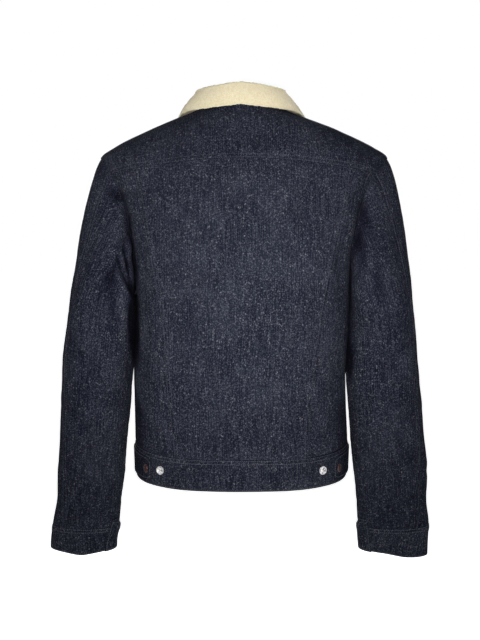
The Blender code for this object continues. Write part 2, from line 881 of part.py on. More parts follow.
def make_front_buttons():
    """A row of buttons down the middle front, and one on the band."""
    top, bottom = neck_height(180) - 16, waist_line(180) + 42
    for index in range(FRONT_BUTTONS):
        height = mix(top, bottom, index / (FRONT_BUTTONS - 1))
        body_button(f"front_button_{index + 1}", 180, height, BODY_WALL + LAP_GAP, SILVER)
    height = waist_line(180) - BAND_HEIGHT / 2
    body_button("waistband_button", 180, height, BAND_WALL + LAP_GAP + 0.4, SILVER)


def make_band_buttons():
    """On each side a free button on the band, and the one that holds the tab."""
    tab_top = 0.4 + LAYER_GAP + TAB_WALL
    for label, side in SIDES.items():
        free_turn = turn_at_x(WAIST_SEAM - 20, FREE_BUTTON_X, side)
        height = waist_line(free_turn) - BAND_HEIGHT * 0.46
        body_button(f"waist_button_{label}", free_turn, height, 0.4, SILVER)
        tab_turn = turn_at_x(WAIST_SEAM - 20, TAB_END_X[label] + TAB_BUTTON_INSET, side)
        body_button(f"tab_button_{label}", tab_turn, height, tab_top, COPPER)


def make_cuff_button(name, side):
    turn = CUFF_END + CUFF_RAMP
    row = cuff_row() + CUFF_HEIGHT / 200
    point = sleeve_point(side, turn, row, cuff_lift(turn))
    make_button(name, point, sleeve_point(side, turn, row, cuff_lift(turn) + 1) - point, SILVER)


def main():
    for leftover in list(bpy.data.objects):
        bpy.data.objects.remove(leftover, do_unlink=True)
    jacket = bpy.data.collections.new("sherpa_lined_jacket")
    bpy.context.scene.collection.children.link(jacket)

    make_back_yoke()
    make_back_center()
    make_waistband()
    make_collar()
    make_front_buttons()
    make_band_buttons()
    for label, side in SIDES.items():
        make_back_side(f"back_side_{label}", side)
        make_front(f"front_{label}", side)
        make_sleeve_panel(f"sleeve_{label}_top", side, TOP_SLEEVE)
        make_sleeve_panel(f"sleeve_{label}_under", side, UNDER_SLEEVE)
        make_cuff(f"cuff_{label}", side, CUFF_HEMS[label])
        make_cuff_button(f"cuff_button_{label}", side)
        make_waist_tab(f"waist_tab_{label}", side, TAB_END_X[label])


main()
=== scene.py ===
# %% [markdown]
# # A sherpa lined denim jacket
# This lesson dresses a plain model of a jacket in real looking cloth. The jacket keeps the
# hollow form of a worn garment. Every panel is laid again as a fine sheet with seams, soft
# creases and stitches, and the collar gets a curled pile.

import math
from collections import namedtuple

import bmesh
import bpy
import numpy as np
from mathutils import Matrix, Vector, noise


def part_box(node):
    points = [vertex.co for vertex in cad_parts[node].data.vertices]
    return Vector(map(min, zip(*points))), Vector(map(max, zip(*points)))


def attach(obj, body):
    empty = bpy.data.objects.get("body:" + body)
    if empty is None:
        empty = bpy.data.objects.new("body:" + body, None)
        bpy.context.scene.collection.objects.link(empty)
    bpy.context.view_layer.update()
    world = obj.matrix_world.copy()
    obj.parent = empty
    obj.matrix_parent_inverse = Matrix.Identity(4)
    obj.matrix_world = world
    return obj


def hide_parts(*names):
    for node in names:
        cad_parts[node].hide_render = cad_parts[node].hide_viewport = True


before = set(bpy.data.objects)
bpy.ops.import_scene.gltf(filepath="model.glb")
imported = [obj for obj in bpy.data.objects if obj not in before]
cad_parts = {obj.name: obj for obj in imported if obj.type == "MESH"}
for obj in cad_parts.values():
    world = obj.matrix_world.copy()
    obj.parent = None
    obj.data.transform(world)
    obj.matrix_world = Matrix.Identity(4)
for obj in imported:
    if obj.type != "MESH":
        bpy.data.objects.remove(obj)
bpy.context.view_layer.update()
MM = 0.001
SIDES = {"left": 1.0, "right": -1.0}
scene = bpy.context.scene
print("nodes to dress:", len(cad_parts))

# %% [markdown]
# ## The studio
# Clothing is shown best in broad, even light that leaves only soft shade at the sides. One wide
# lamp stands behind the camera and two smaller ones light the sides, all with a cool tint. A
# narrow warm one brightens the middle, a strong one lights the fronts, and a weak white sky fills
# the rest. The floor is a plain pale disc far below, because a wearer would hold the jacket up.
# The camera stands behind the jacket, two metres away and a little above its middle.

# %% Camera, lamps and floor
CAMERA_AWAY = 2.0
CAMERA_RISE = math.radians(4.0)
AIM = Vector((0.0024, 0.0, -0.324))
FRAME_HEIGHT = 1.0304
SENSOR = 36.0
COOL_LIGHT = (0.93, 0.98, 1.08)
WARM_LIGHT = (1.03, 1.0, 0.95)
SKY_LIGHT = 0.12
FLOOR_HEIGHT = -1.45


def add_object(name, data):
    item = bpy.data.objects.new(name, data)
    scene.collection.objects.link(item)
    return item


def finish_cage(cage, name, *materials):
    """Ends a bmesh as an object with a smooth mesh and its materials."""
    mesh = bpy.data.meshes.new(name)
    cage.to_mesh(mesh)
    cage.free()
    mesh.shade_smooth()
    for material in materials:
        mesh.materials.append(material)
    return add_object(name, mesh)


def look_from(item, place, target):
    """Moves an object to a place and turns its -Z axis towards a target."""
    item.location = place
    item.rotation_euler = (target - place).to_track_quat("-Z", "Y").to_euler()


def add_lamp(name, place, target, width, power, spread=180, color=COOL_LIGHT):
    lamp = bpy.data.lights.new(name, "AREA")
    lamp.color = color
    lamp.shape = "DISK"
    lamp.size = width
    lamp.energy = power
    lamp.spread = math.radians(spread)
    look_from(add_object(name, lamp), Vector(place), Vector(target))


eye = bpy.data.cameras.new("camera")
eye.sensor_fit = "VERTICAL"
eye.sensor_height = SENSOR
eye.lens = SENSOR * CAMERA_AWAY / math.cos(CAMERA_RISE) / FRAME_HEIGHT
camera = add_object("camera", eye)
rise = CAMERA_AWAY * math.tan(CAMERA_RISE)
look_from(camera, AIM + Vector((0.0, CAMERA_AWAY, rise)), AIM)
scene.camera = camera

add_lamp("key_lamp", (0.0, 2.3, -0.15), (0, 0, -0.26), 0.5, 3.6, spread=29,
         color=WARM_LIGHT)
add_lamp("wide_lamp", (0.1, 2.5, -0.6), (0, 0, -0.4), 2.0, 3.0)
add_lamp("left_lamp", (1.4, 1.9, 0.7), (0, 0, -0.2), 1.2, 3.0)
add_lamp("right_lamp", (-1.5, 1.9, 0.3), (0, 0, -0.3), 1.2, 4.2)
add_lamp("front_lamp", (0.2, -2.8, 0.5), (0, 0, -0.3), 1.8, 62)

world = bpy.data.worlds.new("studio")
world.use_nodes = True
sky = world.node_tree
seen = sky.nodes.new("ShaderNodeLightPath").outputs["Is Camera Ray"]
strength = sky.nodes.new("ShaderNodeMapRange")
strength.inputs["To Min"].default_value = SKY_LIGHT
sky.links.new(seen, strength.inputs["Value"])
sky.links.new(strength.outputs[0], sky.nodes["Background"].inputs["Strength"])
sky.nodes["Background"].inputs["Color"].default_value = (1, 1, 1, 1)
scene.world = world
scene.view_settings.view_transform = "Standard"

disc = bmesh.new()
bmesh.ops.create_circle(disc, cap_ends=True, segments=96, radius=40.0)
bmesh.ops.translate(disc, vec=(0, 0, FLOOR_HEIGHT), verts=disc.verts[:])
paint = bpy.data.materials.new("pale_floor")
paint.use_nodes = True
tree = paint.node_tree
inputs = tree.nodes["Principled BSDF"].inputs
inputs["Base Color"].default_value = (0.9, 0.9, 0.9, 1)
inputs["Roughness"].default_value = 0.9
inputs["Emission Color"].default_value = (1, 1, 1, 1)
direct = tree.nodes.new("ShaderNodeLightPath").outputs["Is Camera Ray"]
glow = tree.nodes.new("ShaderNodeMapRange")
glow.inputs["To Min"].default_value = 0.1
glow.inputs["To Max"].default_value = 0.9
tree.links.new(direct, glow.inputs["Value"])
tree.links.new(glow.outputs[0], inputs["Emission Strength"])
floor = finish_cage(disc, "floor", paint)
print("lens", round(eye.lens, 2), "mm, floor at", FLOOR_HEIGHT, "m")

# %% [markdown]
# ## Measures of the jacket
# A pattern maker works from a few measures and lets curves run between them. The same idea is
# used here: short tables give the body, the sleeves and the collar at named heights, and one
# reader runs a smooth curve through each column. All of these lengths are in millimetres and
# the angles in degrees. Angles round the body run from 0 at the middle of the back to 180 at
# the middle of the front, and round a sleeve from 0 outside to 90 at the back.

# %% Tables of measures
WAIST_SEAM = -517.0
BAND_HEIGHT = 48.5
BACK_DIP = 13.5
UNDERARM = -284.0
SHOULDER_TIP = -66.0
YOKE_SEAM = -70.0
YOKE_DROP = 22.0
BICEPS = -332.0
CUFF_SEAM = -667.0
CUFF_HEIGHT = 45.0
SIDE_Y = -4.0
ARMHOLE_BACK = 58.0
ARMHOLE_FRONT = 50.0
ARMHOLE_SQUARENESS = 2.5
NECK_HALF_WIDTH = 69.0
NECK_BACK = 60.0
NECK_FRONT = 82.0
LAP = 20.0
LAP_GAP = 1.1
LAP_MARGIN = 16.0
LAP_RAMP = 26.0
BODY_WALL = 2.6
SLEEVE_WALL = 2.2
BAND_WALL = 3.0
TAB_WALL = 2.4
LAYER_GAP = 0.4

BodySection = namedtuple("BodySection", "height half_width back_depth front_depth squareness sway")
BODY = [BodySection(*row) for row in (
    (-600, 168.5, 118, 122, 2.4, 0), (-560, 169.5, 121, 124, 2.4, 0),
    (-520, 170.5, 122, 126, 2.4, 0), (-470, 170, 121, 129, 2.4, 1.5),
    (-414, 169.5, 121, 131, 2.4, 3), (-330, 169.5, 124, 134, 2.4, -2),
    (-284, 171, 127, 136, 2.4, -2), (-240, 176, 129, 136, 2.4, -2),
    (-182, 187, 129, 132, 2.4, -2), (-135, 199, 123, 117, 2.3, -3),
    (-100, 211, 114, 101, 2.3, -3), (-66, 227, 100, 83, 2.2, -4),
    (-48, 203, 93, 75, 2.2, -4), (-22, 150, 82, 63, 2.2, -3),
    (-2, 100, 71, 53, 2.1, 0), (8, 74, 65, 47, 2.0, 1),
    (20, 56, 58, 40, 2.0, 0),
)]

SeamRow = namedtuple("SeamRow", "height x")
SIDE_BACK_SEAM = [SeamRow(*row) for row in (
    (-560, 102), (-534, 103), (-431, 110), (-355, 118),
    (-278, 129), (-201, 143), (-125, 158), (-80, 166),
)]

SleeveSection = namedtuple(
    "SleeveSection", "height left_outer left_inner right_outer right_inner half_depth forward lean"
)
SLEEVE = [SleeveSection(*row) for row in (
    (-720, 320, 212, 312, 200, 24, 60, 10), (-700, 319, 211.5, 312, 198, 25, 57, 10),
    (-667, 314, 205, 312, 195, 28, 50, 10), (-625, 307, 199.5, 308, 191.5, 34, 43, 10),
    (-568, 302, 192, 306, 184, 41, 33, 9), (-517, 297, 187, 300, 179, 47, 23, 8),
    (-465, 294, 181, 293, 174, 52, 14, 7), (-414, 290, 176.5, 287, 170.5, 57, 7, 5),
    (-372, 287, 171.5, 282.5, 171.5, 61, 3, 2), (-332, 281, 168.8, 278.5, 173.2, 64, 0, 0),
)]
SLEEVE_SQUARENESS = 2.2
BACK_SLEEVE_SEAM = 40.0
CAP_REACH = 235.0
UNDERARM_REACH = 40.0

CollarRow = namedtuple("CollarRow", "turn stand lean edge_turn edge_height edge_lift")
COLLAR = [CollarRow(*row) for row in (
    (0, 25, 5, 0, 10, 9), (45, 23.5, 3.5, 45, 4, 7),
    (90, 23.5, 8, 92, -0.5, 6), (135, 24, 9, 126, -38, 5.5),
    (174, 22, 0, 152, -116, 6.0),
)]
COLLAR_WALL = 4.5
COLLAR_OPENING = 5.0
COLLAR_CLEARANCE = 1.2
FOLD_RADIUS = 6.5


def read_table(rows, position):
    """Every column of a table at a position, on smooth curves that never overshoot."""
    table = np.array(rows, float)
    steps = np.diff(table[:, 0])
    slopes = np.diff(table, axis=0) / steps[:, None]
    before, after = slopes[:-1], slopes[1:]
    steady = before * after > 0
    rates = np.zeros_like(table)
    rates[0], rates[-1] = slopes[0], slopes[-1]
    rates[1:-1][steady] = 2 * (before * after)[steady] / (before + after)[steady]
    position = np.asarray(position, float)
    index = np.clip(np.searchsorted(table[:, 0], position) - 1, 0, len(table) - 2)
    span = steps[index]
    step = np.clip((position - table[index, 0]) / span, 0, 1)
    columns = []
    for column in range(1, table.shape[1]):
        start, end = table[index, column], table[index + 1, column]
        value = start + (end - start) * step * step * (3 - 2 * step)
        value += span * rates[index, column] * step * (1 - step) ** 2
        value -= span * rates[index + 1, column] * (1 - step) * step ** 2
        columns.append(value)
    return columns


print("chest half width at the underarm:", read_table(BODY, UNDERARM)[0], "mm")

# %% [markdown]
# ## The face of the body
# A worn jacket is close to a rounded box in plan, so each height of the body is a squared oval
# with its own half width and its own depths to the back and the front. A function of angle and
# height gives any point of it, and works on whole arrays at once, which keeps a fine grid quick.

# %% Body face
def smooth_step(value):
    value = np.clip(value, 0.0, 1.0)
    return value * value * (3 - 2 * value)


def fade_in(value, start, end):
    """0 at the start and 1 at the end, on a smooth curve between them."""
    return smooth_step((value - start) / (end - start))


def mix(start, end, share):
    return start + (end - start) * share


def bisect(is_low, low, high):
    """The place in between where a test stops being true."""
    for _ in range(40):
        middle = (low + high) / 2
        passed = is_low(middle)
        low = np.where(passed, middle, low)
        high = np.where(passed, high, middle)
    return low


def oval_radius(turn, half_width, depth, squareness):
    """How far an oval reaches at an angle measured from its depth towards its width."""
    across = np.abs(np.sin(np.radians(turn))) / half_width
    along = np.abs(np.cos(np.radians(turn))) / depth
    return (across ** squareness + along ** squareness) ** (-1 / squareness)


def body_radius(turn, height):
    half_width, back, front, squareness, _ = read_table(BODY, height)
    depth = np.where(np.abs(turn) <= 90, back, front)
    return oval_radius(turn, half_width, depth, squareness)


def body_face(turn, height):
    """Points of the body's outer face."""
    turn, height = np.broadcast_arrays(np.asarray(turn, float), np.asarray(height, float))
    radius = body_radius(turn, height)
    sway = read_table(BODY, height)[4]
    angle = np.radians(turn)
    return np.stack((sway + radius * np.sin(angle), radius * np.cos(angle), height), axis=-1)


def turn_at_y(height, y, side):
    """The angle at which the body's face crosses a distance behind the middle."""
    half_width, back, front, squareness, _ = read_table(BODY, height)
    depth = np.where(np.asarray(y) > 0, back, front)
    x = half_width * (1 - np.abs(y / depth) ** squareness) ** (1 / squareness)
    return side * np.degrees(np.arctan2(x, y))


def turn_at_x(height, x, side):
    """The angle at which the body's back reaches a distance from the middle."""
    half_width, back, _, squareness, _ = read_table(BODY, height)
    y = back * (1 - np.abs(x / half_width) ** squareness) ** (1 / squareness)
    return side * np.degrees(np.arctan2(x, y))


print("back middle at the yoke:", body_face(0, YOKE_SEAM).round(1))

# %% [markdown]
# ## Where the seams run
# Seams are what makes a garment read as sewn. Each one is a line in (angle, height) on the body:
# the waist seam dips at the back, the armhole is a squared oval seen from the side, the yoke
# seam drops towards the armholes and a slanting seam runs down each side of the back. A panel's
# border is a path through stretches of such lines.

# %% Seam lines
def pair(turn, height):
    return np.stack(np.broadcast_arrays(np.asarray(turn, float), np.asarray(height, float)), -1)


def waist_line(turn):
    """Height of the waistband's seam, which dips towards the middle of the back."""
    dip = BACK_DIP * (1 - np.sin(np.radians(turn)) ** 8)
    return WAIST_SEAM - np.where(np.abs(turn) >= 90, 0.0, dip)


def neck_height(turn):
    """Height at which the body's face is as wide as the neckline."""
    turn = np.asarray(turn, float)
    depth = np.where(np.abs(turn) <= 90, NECK_BACK, NECK_FRONT)
    reach = oval_radius(turn, NECK_HALF_WIDTH, depth, 2.0)
    low, high = np.full_like(turn, -120.0), np.full_like(turn, 20.0)
    return bisect(lambda height: body_radius(turn, height) > reach, low, high)


def side_line(side, height):
    """The side seam below the armhole and the shoulder seam above it."""
    return pair(turn_at_y(height, SIDE_Y, side), height)


def armhole(side, turn):
    """The armhole: 0 at the shoulder, 90 at the back, 180 underarm."""
    half_height = (SHOULDER_TIP - UNDERARM) / 2
    reach = np.where(np.sin(np.radians(turn)) >= 0, ARMHOLE_BACK, ARMHOLE_FRONT)
    radius = oval_radius(turn, reach, half_height, ARMHOLE_SQUARENESS)
    height = (SHOULDER_TIP + UNDERARM) / 2 + radius * np.cos(np.radians(turn))
    y = SIDE_Y + radius * np.sin(np.radians(turn))
    return pair(turn_at_y(height, y, side), height)


YOKE_TURN = float(bisect(
    lambda turn: armhole(1.0, turn)[..., 1] > YOKE_SEAM - YOKE_DROP, np.array(0.0), np.array(180.0)
))
NECK_SIDE = float(bisect(
    lambda height: body_radius(turn_at_y(height, SIDE_Y, 1.0), height)
    > oval_radius(turn_at_y(height, SIDE_Y, 1.0), NECK_HALF_WIDTH, NECK_FRONT, 2.0),
    np.array(-30.0), np.array(20.0),
))


def yoke_line(side, share):
    """The back yoke's lower seam, from the middle of the back out to the armhole."""
    end = armhole(side, YOKE_TURN)[0]
    return pair(end * share, YOKE_SEAM - YOKE_DROP * np.abs(share) ** 2.5)


SIDE_BACK_SHARE = float(bisect(
    lambda share: body_face(*yoke_line(1.0, share).T)[..., 0] < SIDE_BACK_SEAM[-1].x,
    np.array(0.0), np.array(1.0),
))


def side_back_line(side, height):
    """The slanting back seam, which meets the yoke seam at its top."""
    return pair(turn_at_x(height, read_table(SIDE_BACK_SEAM, height)[0], side), height)


def line_start(line, side):
    """Where a seam line meets the waistband's seam."""
    height = WAIST_SEAM
    for _ in range(6):
        height = float(waist_line(line(side, height)[..., 0]))
    return line(side, height)


def walk(share, *stops):
    """A line through stretches, each given as (share where it ends, function of 0 to 1)."""
    line = np.zeros(share.shape + (2,))
    begin = 0.0
    for finish, stretch in stops:
        here = share >= begin
        line[here] = stretch(np.clip((share[here] - begin) / (finish - begin), 0, 1))
        begin = finish
    return line


print("yoke meets the armhole at", round(YOKE_TURN, 1), "degrees, neck side at", round(NECK_SIDE, 1))

# %% [markdown]
# ## A panel as a fine grid
# A flat grid can be laid on any curved panel when its four borders are known: a Coons patch
# fills in between them. The grid lines stand close together beside the edges, where the seams
# fold the cloth sharply, and a few millimetres apart in the middle, where it only swells.

# %% Grid and patch
EDGE_LINES = (0.0, 0.9, 2.2, 4.2, 6.6, 9.0, 11.5)
FABRIC_STEP = 3.4


def grid_steps(length, step=FABRIC_STEP):
    """Shares of a length for the grid lines: close beside both ends, even in between."""
    near = np.array(EDGE_LINES) / length
    count = max(2, round((length - 2 * EDGE_LINES[-1]) / step))
    even = np.linspace(near[-1], 1 - near[-1], count + 1)
    return np.concatenate((near[:-1], even, 1 - near[:-1][::-1]))


def patch(left, right, bottom, top, width, length, fade=1.0):
    """(angle, height) on a grid between four border lines, each a function of its share.

    A larger fade lets the bends of the side borders die out sooner towards the middle."""
    across, up = grid_steps(width), grid_steps(length)
    left, right, bottom, top = left(up), right(up), bottom(across), top(across)
    across, up = across[None, :, None], up[:, None, None]
    straight_left = left[0] * (1 - up) + left[-1] * up
    straight_right = right[0] * (1 - up) + right[-1] * up
    bent = (left[:, None] - straight_left) * (1 - across) ** fade
    bent = bent + (right[:, None] - straight_right) * across ** fade
    return bent + bottom[None] * (1 - up) + top[None] * up


def unit(vectors):
    return vectors / np.maximum(np.linalg.norm(vectors, axis=-1, keepdims=True), 1e-9)


def lengths_along(line):
    """How far along a line each of its points lies."""
    return np.concatenate(((0.0,), np.cumsum(np.linalg.norm(np.diff(line, axis=0), axis=1))))


def grid_normals(points, outward):
    """The normals of a grid of points, all on the side that outward mostly looks to."""
    normals = unit(np.cross(np.gradient(points, axis=1), np.gradient(points, axis=0)))
    return normals if np.sum(normals * outward) > 0 else -normals


def edge_distances(points):
    """How far each point lies from the grid's four edges, measured along the cloth."""
    across = np.linalg.norm(np.diff(points, axis=1), axis=2)
    up = np.linalg.norm(np.diff(points, axis=0), axis=2)
    left = np.concatenate((np.zeros((len(points), 1)), np.cumsum(across, axis=1)), axis=1)
    bottom = np.concatenate((np.zeros((1, points.shape[1])), np.cumsum(up, axis=0)), axis=0)
    return {"left": left, "right": left[:, -1:] - left, "bottom": bottom, "top": bottom[-1:] - bottom}


print("a 330 mm panel has", len(grid_steps(330)), "grid lines")

# %% [markdown]
# ## Creases, waves and seams
# Cloth on a body is never even. Three small effects are added along its normals. Soft waves
# keep wide areas from looking moulded. Creases are short troughs between two rounded ridges,
# placed where arms bend and cloth gathers. At a lapped seam the upper cloth lies thicker
# for the width of its fold, rolls down at its edge, and puckers between its stitches.

# %% Relief of the cloth
Crease = namedtuple("Crease", "turn height turn_end height_end width depth bow")
FOLD_RISE = 0.75
FOLD_WIDTH = 9.6
PUCKER = 0.16
OVERLAP = 1.3


def soft_waves(first, second, seed, wave, rise, count=9):
    """Gentle uneven swelling made of a few long waves that run in different directions."""
    chance = np.random.default_rng(seed)
    total = np.zeros_like(first)
    for _ in range(count):
        heading = chance.uniform(0, math.pi)
        length = wave * chance.uniform(0.7, 1.6)
        phase = chance.uniform(0, math.tau)
        way = first * math.cos(heading) + second * math.sin(heading)
        total += np.sin(way * math.tau / length + phase)
    return total * rise / math.sqrt(count)


def crease_relief(turn, height, creases, arc, whole=360.0):
    """Troughs between two ridges, along short lines given in (angle, height).

    arc is the length of one degree, and whole is the angle after which a line comes again."""
    total = np.zeros_like(height)
    for crease in creases:
        run = np.array(((crease.turn_end - crease.turn) * arc, crease.height_end - crease.height))
        length = np.linalg.norm(run)
        run /= length
        aside = ((turn - crease.turn + whole / 2) % whole - whole / 2) * arc
        rise = height - crease.height
        along = np.clip((aside * run[0] + rise * run[1]) / length, 0, 1)
        off = aside * run[1] - rise * run[0] - crease.bow * np.sin(math.pi * along)
        beyond = (aside * run[0] + rise * run[1]) - along * length
        off = np.hypot(off, beyond)
        fade = np.sin(math.pi * np.clip(along, 0.02, 0.98)) ** 0.7
        trough = np.exp(-(off / crease.width) ** 2)
        ridge = np.exp(-((off - 1.8 * crease.width) / crease.width) ** 2)
        total += crease.depth * fade * (0.4 * ridge - trough)
    return total


def edge_weight(edge, shape):
    """The edge's name, and a grid that is 1 beside the stretch of the edge where it applies."""
    if isinstance(edge, str):
        return edge, np.ones(shape)
    name, start, end = edge
    upright = name in ("left", "right")
    count = shape[0] if upright else shape[1]
    lines = 2 * len(EDGE_LINES) - 1
    share = grid_steps((count - lines) * FABRIC_STEP + 2 * EDGE_LINES[-1])
    weight = ((share >= start) & (share <= end)).astype(float)
    return name, np.broadcast_to(weight[:, None] if upright else weight[None, :], shape)


def seam_relief(distance, over, under, seed):
    """The fold of a lapped seam beside edges that lie over, and the dip beside those under."""
    shape = distance["left"].shape
    fold, dip = np.zeros(shape), np.zeros(shape)
    for number, edge in enumerate(over + under):
        name, weight = edge_weight(edge, shape)
        away = distance[name]
        along = distance["bottom" if name in ("left", "right") else "left"]
        pucker = soft_waves(along, away * 0.2, seed + number, 9.0, PUCKER, 5)
        dip += pucker * np.exp(-(away / 11.0) ** 2) * smooth_step(away / 2.0)
        if edge in over:
            rise = FOLD_RISE * (1 - smooth_step((away - FOLD_WIDTH) / 2.2))
            fold = np.maximum(fold, rise * weight)
            dip -= 0.9 * (1 - smooth_step(away / 1.4)) * weight
        dip -= 0.5 * (1 - smooth_step(away / 3.5)) * (1 - weight if edge in over else 1.0)
    return fold + dip


def push_over(points, over):
    """Moves the edges that lie over a little across the seam, so that no gap is left there."""
    points = points.copy()
    for edge in over:
        name, weight = edge_weight(edge, points.shape[:2])
        at, inside = {"left": ((slice(None), 0), (slice(None), 1)),
                      "right": ((slice(None), -1), (slice(None), -2)),
                      "bottom": ((0,), (1,)), "top": ((-1,), (-2,))}[name]
        points[at] += unit(points[at] - points[inside]) * OVERLAP * weight[at][..., None]
    return points


print("a seam's fold rises", FOLD_RISE, "mm and is", FOLD_WIDTH, "mm wide")

# %% [markdown]
# ## Laying a piece of cloth
# Blender's create_grid gives a flat sheet whose points are then moved to their places. Three
# facts about every point go with it: its place on the flat cut, kept as UV in metres so that the weave
# runs with the grain, its distance from the nearest seam, and its depth in a fold, to which painted
# shade and painted light are added. A Solidify modifier puts the lining side behind the face, with a
# material of its own.

# %% Cloth pieces
Sheet = namedtuple("Sheet", "piece points normals")
FAR_FROM_SEAMS = 60.0
sheets = {}


def lay_cloth(name, points, outward, wall, face, lining, over=(), under=(), extra=0.0, seed=0,
              depth=0.0):
    """Adds the relief to a grid of points, and makes it a piece of cloth with a wall.

    depth tells the material how far, in millimetres, each point lies on a ridge or in a trough;
    it also carries painted shade as extra trough and painted light as extra ridge."""
    distance = edge_distances(points)
    normals = grid_normals(points, outward)
    relief = seam_relief(distance, tuple(over), tuple(under), seed) + extra
    points = push_over(points + normals * relief[..., None], tuple(over))
    normals = grid_normals(points, outward)
    cut = np.stack(((distance["left"] - distance["right"]) / 2, distance["bottom"]), -1)
    near = np.full(points.shape[:2], FAR_FROM_SEAMS)
    for edge in tuple(over) + tuple(under):
        near = np.minimum(near, distance[edge if isinstance(edge, str) else edge[0]])
    rows, columns = points.shape[0] - 1, points.shape[1] - 1
    turned = np.cross(points[1, 1:] - points[1, :-1], points[2, :-1] - points[1, :-1])
    order = slice(None, None, -1) if np.sum(turned * normals[1, :-1]) < 0 else slice(None)
    cage = bmesh.new()
    bmesh.ops.create_grid(cage, x_segments=columns, y_segments=rows, size=0.5)
    mesh = bpy.data.meshes.new(name)
    cage.to_mesh(mesh)
    cage.free()
    flat = np.empty(len(mesh.vertices) * 3)
    mesh.vertices.foreach_get("co", flat)
    place = flat.reshape(-1, 3) + 0.5
    column = np.rint(place[:, 0] * columns).astype(int)
    row = np.rint(place[:, 1] * rows).astype(int)
    mesh.vertices.foreach_set("co", (points[:, order][row, column] * MM).ravel())
    corner = np.empty(len(mesh.loops), int)
    mesh.loops.foreach_get("vertex_index", corner)
    chart = (cut[:, order][row, column] * MM)[corner] + (seed * 0.37, seed * 0.21)
    mesh.uv_layers.new(name="cut").uv.foreach_set("vector", chart.ravel())
    # The fold attribute holds the depth of the creases together with painted shade and painted light.
    for label, values in (("seam", near), ("fold", np.broadcast_to(depth, near.shape))):
        layer = mesh.attributes.new(label, "FLOAT", "POINT")
        layer.data.foreach_set("value", values[:, order][row, column])
    for material in (face, lining):
        mesh.materials.append(material)
    mesh.shade_smooth()
    piece = add_object(name, mesh)
    wall_maker = piece.modifiers.new("wall", "SOLIDIFY")
    wall_maker.thickness = wall * MM
    wall_maker.offset = -1.0
    wall_maker.material_offset = 1
    sheets[name] = Sheet(piece, points, normals)
    return piece


def from_axis(points):
    """Which way is outwards on the body: away from its upright axis."""
    return points * (1, 1, 0) + (0, 0, 20)


print("cloth pieces are ready to be laid")

# %% [markdown]
# ## Finishes shared by several cloths
# An effect that several materials use is built once as a node group. The first group scatters
# the short off-white slubs that spinning leaves in rough yarn: a Voronoi texture gives each cell
# a random number, and only the lucky cells show a soft speck. Stretching the pattern along one
# direction makes the specks as long and thin as bits of thread.

# %% Slub group
SURFACE = ("Color", "Roughness", "Height")


def add_node(tree, kind, wires=(), **settings):
    """A new node: settings are its options, and wires are its inputs as values or sockets."""
    item = tree.nodes.new(kind)
    for key, value in settings.items():
        setattr(item, key, value)
    for socket, value in dict(wires).items():
        if isinstance(value, bpy.types.NodeSocket):
            tree.links.new(value, item.inputs[socket])
        else:
            item.inputs[socket].default_value = value
    return item


def new_group(name, inputs, outputs=SURFACE):
    """A shader node group. Each input is None for a vector, or the value of a number or colour."""
    tree = bpy.data.node_groups.new(name, "ShaderNodeTree")
    for label, value in inputs.items():
        kind = "Vector" if value is None else "Float" if isinstance(value, float) else "Color"
        socket = tree.interface.new_socket(label, in_out="INPUT", socket_type=f"NodeSocket{kind}")
        if value is not None:
            socket.default_value = value
    for label in outputs:
        kind = "Color" if label == "Color" else "Float"
        tree.interface.new_socket(label, in_out="OUTPUT", socket_type=f"NodeSocket{kind}")
    return tree, tree.nodes.new("NodeGroupInput").outputs, tree.nodes.new("NodeGroupOutput").inputs


def use_group(tree, group, wires):
    return add_node(tree, "ShaderNodeGroup", wires, node_tree=group).outputs


def calculate(tree, operation, *values, clamp=False):
    wires = dict(enumerate(values))
    return add_node(tree, "ShaderNodeMath", wires, operation=operation, use_clamp=clamp).outputs[0]


def times(tree, *values, clamp=False):
    return calculate(tree, "MULTIPLY", *values, clamp=clamp)


def plus(tree, *values, clamp=False):
    return calculate(tree, "ADD", *values, clamp=clamp)


def vector_math(tree, operation, *values):
    wires = dict(enumerate(values))
    return add_node(tree, "ShaderNodeVectorMath", wires, operation=operation).outputs[0]


def add_noise(tree, place, scale, detail, dimensions="3D"):
    wires = {"Vector": place, "Scale": scale, "Detail": detail}
    return add_node(tree, "ShaderNodeTexNoise", wires, noise_dimensions=dimensions).outputs


def blend_colors(tree, share, first, second, mode="MIX"):
    wires = {0: share, 6: first, 7: second}
    return add_node(tree, "ShaderNodeMix", wires, data_type="RGBA", blend_type=mode).outputs[2]


def ramp(tree, value, low, high, start=0.0, end=1.0):
    wires = {0: value, 1: low, 2: high, 3: start, 4: end}
    return add_node(tree, "ShaderNodeMapRange", wires, interpolation_type="SMOOTHSTEP").outputs[0]


def make_slub_group():
    tree, given, result = new_group(
        "scattered_slubs", {"Cut": None, "Width": 0.001, "Length": 0.002, "Share": 0.2}, ("Speck",)
    )
    size = add_node(tree, "ShaderNodeCombineXYZ", {0: given["Width"], 1: given["Length"], 2: 1.0})
    place = vector_math(tree, "DIVIDE", given["Cut"], size.outputs[0])
    cells = add_node(
        tree, "ShaderNodeTexVoronoi", {"Vector": place, "Scale": 1.0}, voronoi_dimensions="2D"
    )
    chance = add_node(tree, "ShaderNodeSeparateColor", {0: cells.outputs["Color"]})
    rarest = calculate(tree, "SUBTRACT", 1.0, given["Share"])
    lucky = ramp(tree, chance.outputs[0], rarest, 1.0)
    round_spot = ramp(tree, cells.outputs["Distance"], 0.5, 0.12)
    tree.links.new(times(tree, lucky, round_spot), result["Speck"])
    return tree


slub_group = make_slub_group()
print("slub group sockets:", [item.name for item in slub_group.interface.items_tree])
